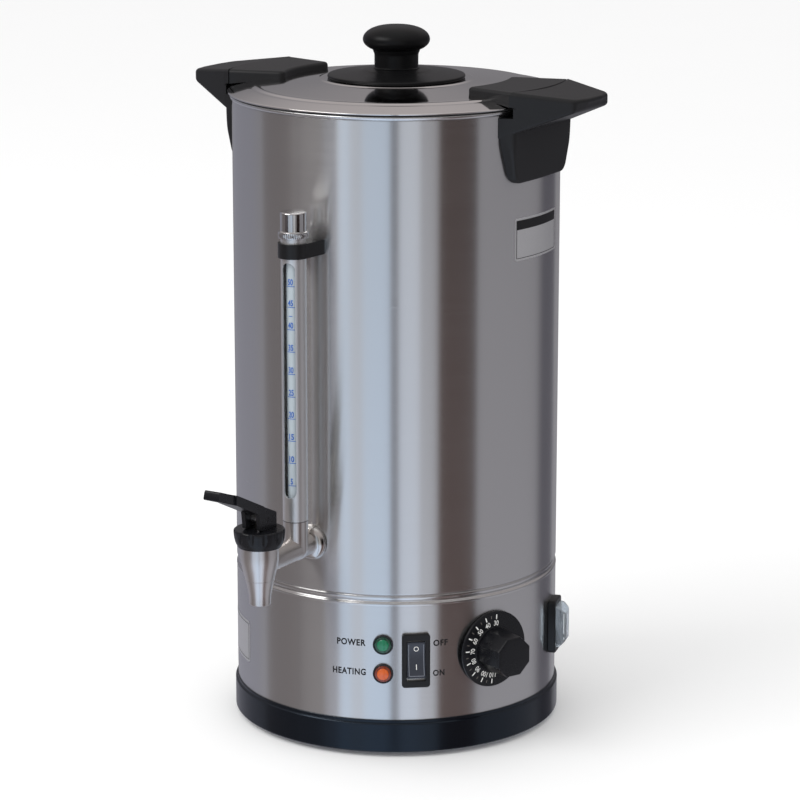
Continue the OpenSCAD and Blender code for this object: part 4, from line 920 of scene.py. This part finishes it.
def lobes(angle, r, z):
    """Shallow grooves round the nut: each is where a circle bites into the rim. They fade out at the nut's
    rounded lower end."""
    off = np.abs((angle * lobe_count / (2 * math.pi)) % 1 - 0.5) * 2 * math.pi / lobe_count
    aside = groove_at * np.sin(off)
    reach = groove_at * np.cos(off) - np.sqrt(np.clip(groove_r**2 - aside**2, 0, None))
    return np.where((aside < groove_r) & (r > root_r), np.minimum(r, np.maximum(reach, root_r)), r)


bonnet_section = np.vstack([
    [3.05, 200.4], [13.9, 200.4], [13.9, 188.7], arc(16.4, 189.5, 0.8, -90, -20, 5),
    smooth_through([[17.5, 190.0], [18.6, 192.2], [19.3, 194.6], [19.8, 197.6], [20.1, 200.4]], 5),
    arc(18.5, 201.6, 1.6, 5, 90, 9), [12, 203.25], [4.4, 203.25], [3.2, 203.1], [3.05, 202.8]])
bonnet = moved(turned(bonnet_section, 288, shape=lobes), y=valve_y)
piece("tap_bonnet", bonnet, "dial_plastic", slot="black_plastic")
print("bonnet nut has", lobe_count, "lobes")

# %% [markdown]
# Inside the cup a stem pulls the bell off its seat. The lever's foot is a cam with the outline of an
# involute. When the lever goes down, the foot rolls on the nut and lifts the stem by the same amount for
# each degree. A small coil spring between the nut and the stem's collar closes it again. At full lift the
# spring keeps 0.79 of its length and the bell 0.92 of its height, both shortened towards the nut. Here both
# are drawn at full length, each with a mesh of its own.

# %% Spring and bell
turns = np.linspace(0, 6, 240)
a = 2 * math.pi * turns
coil = np.column_stack([5.2 * np.cos(a), 5.2 * np.sin(a), 185.6 + 14.0 * turns / 6])
spring = piece("tap_spring", moved(tube(coil, 0.6), y=valve_y), "screw_steel")
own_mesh(spring)
bell_section = rounded([
    [0, 160.1], [7.9, 160.1], [8.5, 162], [9.1, 168], [10.6, 176], [10.6, 197], [11.5, 198.1], [13.8, 198.1],
    [13.8, 200.2], [10.2, 200.2], [9.7, 197], [9.7, 176.5], [8.2, 168.5], [6.5, 165.1], [0, 165.1]],
    [0, 0.6, 1, 2, 2, 0.3, 0.3, 0.3, 0.3, 0.3, 0.4, 2, 2, 0.8, 0])
bell = moved(turned(bell_section, 96), y=valve_y)
bell = piece("tap_seat_cup", bell, "white_silicone", name="seat_bell_piece")
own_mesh(bell)
softened("tap_lever", "dial_plastic", 0.7, "lever", 4)
softened("lever_pin", "black_steel", 0.2, body="lever")
print("stem, bell, spring and lever")

# %% [markdown]
# ## The sight gauge
#
# Water rises in a glass tube as high as it stands in the tank. A steel shield guards the glass and leaves
# a long slot to read it through. A cap closes its top, and it can be unscrewed so that a brush goes down
# the glass. A black clip ties the shield to the wall.

# %% Shield, glass and clip
softened("gauge_shield", "shield_steel", 0.45)
softened("gauge_clip", "switch_plastic", 0.5)
glass_section = rounded([[4.5, 182.1], [6.0, 182.1], [6.0, 428.8], [4.5, 428.8]], 0.3, 4)
piece("gauge_glass", moved(turned(glass_section, 64), y=gauge_y), "gauge_glass")


def collar_ribs(angle, r, z):
    """Forty-eight fine upright ribs on the cap's collar."""
    on = (r > 11.2) & (z > 424.2) & (z < 428.3)
    return r + np.where(on, 0.16 * np.cos(48 * angle), 0.0)


cap_section = np.vstack([
    [0, 442], [7, 442], [7, 429.8], [10, 429.8], [10, 423.5], [11.3, 423.5], arc(11.4, 423.9, 0.4, -90, 0, 4),
    [11.8, 424.3], [11.8, 426], [11.8, 427.8], arc(11.4, 428.3, 0.4, 0, 80, 4), [10.9, 428.9], [10.35, 429.3],
    [10.3, 430.2], [10.3, 442.4], arc(8.9, 442.6, 1.4, 5, 90, 8), [0, 444.05]])
piece("gauge_cap", moved(turned(cap_section, 192, closed=False, shape=collar_ribs), y=gauge_y), "cap_chrome")
# A thin dark ring between the arm's socket and the shield: painted shade for the shadow gap there.
shade_ring = rounded([[9.0, 197.25], [10.03, 197.25], [10.03, 197.85], [9.0, 197.85]], 0.08, 3)
piece(None, moved(turned(shade_ring, 96), y=gauge_y), "seal_rubber", name="shield_shade_ring")
print("gauge from 197.7 to 444 mm")

# %% [markdown]
# ## Lamps and switches
#
# Both lamps are the usual round ones for a sixteen millimetre hole: a dark rim and a clear tinted lens.
# The switches snap into cut-outs in the wall. Their frames have a thin second step, and each rocker's
# face is slightly hollow, so that a fingertip finds the pressed end without looking.

# %% Lamps
lamp_angle = 26.4


def lamp_part(section, up, closed=True):
    """A turned part of a lamp, stood on the wall at the lamp's height."""
    return on_wall(moved(turned(section, 96, closed), z=body_r), lamp_angle, up)


bezel = np.vstack([[4.8, -18], [5.9, -18], [5.9, 0.05], arc(7.8, 0.4, 0.4, -90, 0, 4),
                   arc(7.5, 1.1, 0.7, 0, 90, 8), arc(7.2, 1.4, 0.4, 90, 180, 5), [6.8, 1.2], [4.8, 1.2]])
band = np.vstack([[4.8, 1.22], [6.7, 1.22], arc(6.25, 1.75, 0.42, 0, 70, 4), [5.3, 2.42], [4.8, 2.5]])
dome = smooth_through([[4.72, 2.95], [4.2, 3.3], [3.0, 3.62], [1.6, 3.82], [0.6, 3.89], [0, 3.9]], 5)
lens = np.vstack([[0, -10], [4.75, -10], [4.75, 1.2], [4.75, 2.85], dome])
lamps = {"green": 94.2, "orange": 70.1}
piece("lamp_bezels", [lamp_part(bezel, up) for up in lamps.values()], "bezel_plastic", slot="switch_plastic",
      name="lamp_rims")
for tint, up in lamps.items():
    piece(tint + "_lens", lamp_part(lens, up, False), tint + "_lens")
    # The band's deeper tint is painted shade.
    piece(None, lamp_part(band, up), tint + "_band", slot=tint + "_lens", name=tint + "_lens_band")
print("lamps at", lamp_angle, "degrees")

# %% Switches and the clear cover
def rocker_face(y):
    """Height of a rocker's hollow face along it: lowest in the middle, by the square of the distance."""
    return 6.45 + 2.2 * (y / 13.9) ** 2


def tipped(surface, base, angle):
    """Tips a rocker by nine degrees about its pivot, with its upper end pressed in, and puts it in place."""
    x, y, z = surface[0].T
    c, s = math.cos(math.radians(9)), math.sin(math.radians(9))
    return on_wall((np.column_stack([x, y * c + z * s, z * c - y * s + base]), surface[1]), angle, 81.0)


def rocker(base, angle):
    """The rocker's side view, carried across it, with rounded flanks, and its two pivots."""
    y = np.linspace(13.4, -13.4, 27)
    low = rounded([[-15.1, -3], [-3, -9], [3, -9], [15.1, -3], [15.45, 3], [14.6, 8], [14, 8.5], [-14, 8.5],
                   [-14.6, 8], [-15.45, 3]], [0.5, 1, 1, 0.5, 2, 0.6, 0.2, 0.2, 0.6, 2], 4)
    side = np.vstack([low[:35], np.column_stack([y, rocker_face(y)]), low[35:]])
    flank = [(6.65 + 0.6 * math.cos(a), 0.6 * (1 - math.sin(a))) for a in np.radians([0, 20, 40, 60, 80, 90])]
    levels = [(-x, d) for x, d in flank] + [(-6.3, 0.0), (6.3, 0.0)] + flank[::-1]
    body = [np.insert(drawn_in(side, d), 0, x, axis=1) for x, d in levels]
    pivot = [np.insert(arc(0, 0, 1.5, 0, 337.5, 15), 0, x, axis=1) for x in (-8.9, 8.9)]
    return [tipped(lofted(rings), base, angle) for rings in (body, pivot)]


front_place, side_place = (129.0, 37.7), (131.8, 106.0)
softened("rocker_frame", "switch_plastic", 0.35)
piece("front_rocker", rocker(*front_place), "rocker_plastic", "front_rocker")
softened("side_switch_frame", "switch_plastic", 0.35)
piece("side_rocker", rocker(*side_place), "rocker_plastic", "side_rocker")
softened("side_boot", "clear_silicone", 0.5)
print("two rockers, one under a cover")

# %% [markdown]
# ## The dial
#
# The dial is one glossy moulding: a flat skirt that carries the scale and an eight-sided grip. The scale
# is printed on the skirt and turns with it, past a mark that stays on the wall. Its ticks are spread over
# half a turn, ten degrees of heat for each longer tick.

# %% Dial skirt and grip
dial_place, skirt_z, skirt_r = (66.5, 83.5), 133.1, 31.25
skirt = np.vstack([[0, skirt_z], [skirt_r - 0.9, skirt_z], arc(skirt_r - 0.6, skirt_z + 0.6, 0.6, -90, 0, 5),
                   arc(skirt_r - 0.7, skirt_z + 1.4, 0.7, 0, 80, 6), [skirt_r - 1.2, skirt_z + 2.15],
                   [25, skirt_z + 2.26], [19.4, skirt_z + 2.38], arc(19.2, skirt_z + 3.0, 0.62, -90, -170, 6),
                   [18.5, skirt_z + 3.2], [0, skirt_z + 3.2]])
grip_r = 15.5 / math.cos(math.radians(22.5)) + 1.1
octagon = rounded(arc(0, 0, grip_r, 22.5, 337.5, 7), 1.3, 5)
a = np.linspace(0, math.pi / 2, 7)
levels = np.vstack([[1.0, 135.6], [0.975, 148.0], [0.955, 160.4],
                    np.column_stack([0.955 - 0.07 * (1 - np.cos(a)), 160.6 + 1.2 * np.sin(a)]),
                    [0.8, 161.95], [0.6, 162.1], [0.3, 162.2]])
dial_grip = lofted([ring_at(octagon * size, z) for size, z in levels])
piece("dial", [on_wall(turned(skirt, 192, closed=False), *dial_place), on_wall(dial_grip, *dial_place)],
      "dial_plastic", "dial", "black_plastic")
print("dial skirt is", 2 * skirt_r, "mm wide")

# %% [markdown]
# ## Printing
#
# The scale, the words beside the switch and the numbers on the gauge are screen printed. Print is a skin
# of ink a few hundredths of a millimetre thick, so each letter is a flat mesh bent onto its surface and
# lifted by that much. Letters on the narrow glass are cut into strips first, because a wide flat face
# can't follow a tight curve.

# %% Letters as meshes
def taken(mesh):
    """A mesh's places and faces as tables. The mesh itself is done with."""
    surface = places_of(mesh), [list(p.vertices) for p in mesh.polygons]
    bpy.data.meshes.remove(mesh)
    return surface


def lettering(text, height, weight=0.0, stretch=1.0, width=0.0, spread=1.0):
    """Flat letters, centred on their box: places (x, y, 0) in millimetres, and faces. The width is the
    font's own times stretch, or is given. spread sets the letters further apart."""
    curve = bpy.data.curves.new("letters", "FONT")
    curve.body = text
    curve.size = 1.0
    curve.offset = weight
    curve.space_character = spread
    curve.fill_mode = "FRONT"
    curve.resolution_u = 6
    holder = bpy.data.objects.new("letters", curve)
    bpy.context.collection.objects.link(holder)
    made = bpy.data.meshes.new_from_object(holder.evaluated_get(bpy.context.evaluated_depsgraph_get()))
    bpy.data.objects.remove(holder)
    bpy.data.curves.remove(curve)
    places, faces = taken(made)
    low, high = places.min(0), places.max(0)
    scale = height / (high[1] - low[1])
    across = width / (high[0] - low[0]) if width else scale * stretch
    return (places - (low + high) / 2) * [across, scale, 0], faces


def cut_strips(surface, width):
    """The same flat surface, cut by upright planes a strip's width apart."""
    bm = worked(*surface)
    low, high = surface[0][:, 0].min(), surface[0][:, 0].max()
    for x in np.arange(low + width, high, width):
        every = bm.verts[:] + bm.edges[:] + bm.faces[:]
        bmesh.ops.bisect_plane(bm, geom=every, plane_co=(x, 0, 0), plane_no=(1, 0, 0))
    bmesh.ops.triangulate(bm, faces=bm.faces)
    made = bpy.data.meshes.new("strips")
    bm.to_mesh(made)
    bm.free()
    return taken(made)


def bent(surface, radius, angle, height, lift=0.06, centre_y=0.0):
    """Wraps a flat surface round an upright cylinder, centred at an angle from the tap."""
    x, y, z = surface[0].T
    a = math.radians(angle) + x / radius
    out = radius + lift + z
    return np.column_stack([out * np.sin(a), centre_y - out * np.cos(a), y + height]), surface[1]


def bar(width, height, x=0.0, y=0.0):
    """A flat upright rectangle."""
    corners = np.array([[-1.0, -1, 0], [1, -1, 0], [1, 1, 0], [-1, 1, 0]])
    return corners * [width / 2, height / 2, 0] + [x, y, 0], [[0, 1, 2, 3]]


def swung(surface, degrees, r):
    """A flat surface moved out from the middle by r, to the side that the angle points to, and turned with
    it."""
    c, s = math.cos(math.radians(degrees)), math.sin(math.radians(degrees))
    x, y, z = surface[0].T
    return np.column_stack([x * s + (y + r) * c, (y + r) * s - x * c, z]), surface[1]


words = []
for text, middle, up, tall, wide in (("OFF", 46.4, 94.5, 5.2, 0.93), ("ON", 45.8, 69.5, 5.2, 0.87),
                                     ("POWER", 15.2, 95.0, 5.5, 0.88), ("HEATING", 14.4, 70.6, 5.5, 0.835)):
    letters = lettering(text, tall, 0.034, wide, spread=1.14)
    words.append(bent(cut_strips(letters, 2.5), body_r, middle, up, 0.03))
printed("wall_words", words, "black_ink")
print("words on the wall:", len(words))

# %% Gauge numbers
def on_glass(surface, up):
    """Bends flat print onto the gauge's glass."""
    return bent(cut_strips(surface, 0.5), 6.0, 6.0, up, 0.05, gauge_y)


numbers = []
for i, up in enumerate((228.8, 247.0, 264.9, 282.8, 300.4, 318.5, 336.3, 354.0, 371.7, 388.2)):
    digits = lettering(str(5 + 5 * i), 5.0, 0.035, width=4.3 if i else 2.0)
    numbers += [on_glass(digits, up + 1.2), on_glass(bar(7.0, 0.6), up - 2.2)]
numbers.append(on_glass(bar(3.2, 0.6), 362.5))
printed("gauge_numbers", numbers, "blue_ink")
print("numbers on the glass:", len(numbers) // 2)

# %% Dial scale
def on_skirt(surface):
    """Lays flat print on the dial's skirt, which rises a little towards the grip."""
    x, y, z = surface[0].T
    rise = np.interp(np.hypot(x, y), [19.4, 25, skirt_r - 1.2], [2.43, 2.31, 2.2])
    return on_wall((np.column_stack([x, y, skirt_z + rise]), surface[1]), *dial_place)


major, minor = [], []
for i in range(9):
    a = 85.3 + 22.5 * i
    major.append(on_skirt(swung(bar(0.95, 3.8), a, 26.7)))
    major.append(on_skirt(swung(lettering(str(30 + 10 * i), 4.1, 0.005, 0.85), a, 21.6)))
    if i < 8:
        minor.append(on_skirt(swung(bar(0.45, 2.4), a + 11.25, 27.0)))
printed("dial_scale", major, "white_ink", "dial")
printed("dial_half_marks", minor, "grey_ink", "dial")
print("scale from 30 to 110")

# %% Marks on the front rocker
def on_rocker(surface):
    """Lays flat print on the front rocker's hollow face."""
    x, y, z = surface[0].T
    return tipped((np.column_stack([x, y, rocker_face(y) + 0.05]), surface[1]), *front_place)


def ring_flat(outer, inner, y, steps=40):
    """A flat ring, its middle at a height."""
    both = np.stack([arc(0, y, r, 0, 360 - 360 / steps, steps - 1) for r in (inner, outer)], 1)
    return ring_at(both.reshape(-1, 2), 0.0), grid_faces(steps, 2, True, False)


marks = [on_rocker(ring_flat(1.95, 1.5, 9.0)), on_rocker(bar(0.55, 4.2, 0.0, -5.6))]
printed("rocker_marks", marks, "white_ink", "front_rocker")
# Lighter strips along the rocker face's sides and lower end: a painted edge highlight.
edges = [on_rocker(bar(0.5, 4.2, x, y)) for x in (-6.0, 6.0) for y in (-10.5, -6.3, -2.1, 2.1, 6.3, 10.5)]
printed("rocker_painted_highlight", edges + [on_rocker(bar(11.5, 0.5, 0.0, -12.7))], "rocker_edge_highlight", "front_rocker")
print("the rocker shows a ring for off and a bar for on")

# %% [markdown]
# Two foil plates are stuck to the wall. They are left bare here: a warning plate high on the right and a
# rating plate low on the left, each with the rounded corners that keep foil from peeling. Their printed
# borders are there, and what is written inside them is left to whoever uses the part.

# %% Foil plates
def foil(width, height, corner):
    """A bare flat plate with round corners."""
    w, h = width / 2, height / 2
    outline = rounded([[-w, -h], [w, -h], [w, h], [-w, h]], corner, 5)
    return ring_at(outline, 0.0), [list(range(len(outline)))]


plate_lines = []
for name, place, size, lines in (
        ("warning_plate", (89.6, 414.0), (65.2, 34.0, 2.0),
         ((61.6, 7.4, 0, 11.5), (61.6, 0.4, 0, -15.0), (0.4, 30.0, -30.6, 0.0), (0.4, 30.0, 30.6, 0.0))),
        ("rating_plate", (-54.5, 71.5), (94.8, 35.0, 3.5),
         ((90.4, 0.4, 0, 15.2), (90.4, 0.4, 0, -15.2), (0.4, 30.8, -45.0, 0.0), (0.4, 30.8, 45.0, 0.0)))):
    printed(name, [bent(cut_strips(foil(*size), 3.0), body_r, *place, 0.08)], "label_foil")
    plate_lines += [bent(cut_strips(bar(*line), 3.0), body_r, *place, 0.24) for line in lines]
    print(name, "is", size[0], "mm wide")
printed("plate_lines", plate_lines, "black_ink")

# %% [markdown]
# ## The room
#
# Steel shows the room around it more than itself. Bright cloths hang in front and dark ones beside them,
# and the round wall turns them into upright bands. Each row of the table below is one of them: where it
# begins and ends, in degrees from the front towards the controls, how soft its edges are, and its colour
# at eye level and low down. Only mirrored rays see that room. The camera sees plain white, and plain soft
# light falls on everything else.

# %% World
world = bpy.data.worlds.new("studio")
bpy.context.scene.world = world
world.use_nodes = True
sky = Finish("studio", world.node_tree)
split = sky.tree.nodes.new("ShaderNodeSeparateXYZ")
sky.feed(split.inputs[0], sky.node("ShaderNodeTexCoord", "Generated"))
x, y, z = (Value(sky, split.outputs[i]) for i in range(3))
azimuth = x.math("ARCTAN2", y * -1) * (180 / math.pi)
elevation = z.math("ARCSINE") * (180 / math.pi)
down = 1 - elevation.step(-24, -4)


def panel(left, right, soft):
    """1 between two azimuths, fading to 0 over a soft edge outside them."""
    return azimuth.step(left - soft, left + soft) * (1 - azimuth.step(right - soft, right + soft))


white, back_wall, far_side = (1.0, 1.0, 1.0), (0.14, 0.135, 0.16), (0.35, 0.35, 0.405)
room = panel(-134, -84, 8.0).mix(down.mix((0.33, 0.32, 0.34), (0.42, 0.42, 0.46)), far_side)
for left, right, soft, level, low in (
        (-76, -43, 0.9, (0.225, 0.205, 0.21), (0.225, 0.205, 0.21)),
        (-43, -22, 0.9, (0.085, 0.07, 0.075), (0.33, 0.31, 0.32)),
        (-22, -10.5, 0.9, (0.03, 0.025, 0.03), (0.6, 0.62, 0.71)),
        (-10.5, 27, 0.8, (0.7, 0.78, 0.88), (0.8, 0.97, 1.22)),
        (-2, 7, 0.8, (0.64, 0.66, 0.7), (0.8, 0.88, 1.02)),
        (27, 32.5, 0.8, (0.17, 0.172, 0.18), (0.34, 0.36, 0.42)),
        (32.5, 48, 0.9, (0.76, 0.76, 0.76), (0.84, 0.96, 1.18)),
        (48, 60.5, 2.5, (0.28, 0.25, 0.23), (0.84, 0.9, 1.02)),
        (61, 89.5, 0.9, (0.003, 0.001, 0.001), (0.18, 0.13, 0.125)),
        (153, 184, 6.0, back_wall, back_wall)):
    room = panel(left, right, soft).mix(room, down.mix(level, low))
room = (elevation.step(-26, 2) * 0.36).mix(room, (0.0, 0.0, 0.0))
room = elevation.step(8, 38).mix(room, (0.47, 0.44, 0.44))
room = elevation.step(50, 75).mix(room, (0.72, 0.72, 0.72))
path = sky.tree.nodes.new("ShaderNodeLightPath")
camera_ray, through_ray, mirrored_ray = (
    Value(sky, path.outputs[name]) for name in ("Is Camera Ray", "Is Transmission Ray", "Is Glossy Ray"))
seen = (camera_ray + through_ray).math("MINIMUM", 1.0)
background = sky.tree.nodes["Background"]
sky.feed(background.inputs["Color"], seen.mix(mirrored_ray.mix(white, room), white))
background.inputs["Strength"].default_value = 1.0
print("the room has bright cloths in front and a dark one on the right")

# %% Floor and key light
floor = bpy.data.objects.new("floor", mesh_of("floor", *bar(28, 28)))
bpy.context.collection.objects.link(floor)
pale = Finish("floor_white")
pale.set(Base_Color=pale.noise(3.0).mix((0.955, 0.955, 0.955), (0.965, 0.965, 0.965)), Roughness=0.9)
floor.data.materials.append(finishes["floor_white"])
floor.visible_glossy = False
key_data = bpy.data.lights.new("key", "AREA")
key_data.shape = "RECTANGLE"
key_data.size, key_data.size_y = 2.2, 1.6
key_data.energy = 42
key = bpy.data.objects.new("key", key_data)
key.location = (-1.2, -2.2, 2.4)
key.rotation_euler = (math.radians(42), 0, math.radians(-28))
bpy.context.collection.objects.link(key)
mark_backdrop(floor, key)
print("floor and key light are in place")

# %% Size note and the end
low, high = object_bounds()
print("final box in metres:", [round(v, 4) for v in low], [round(v, 4) for v in high])
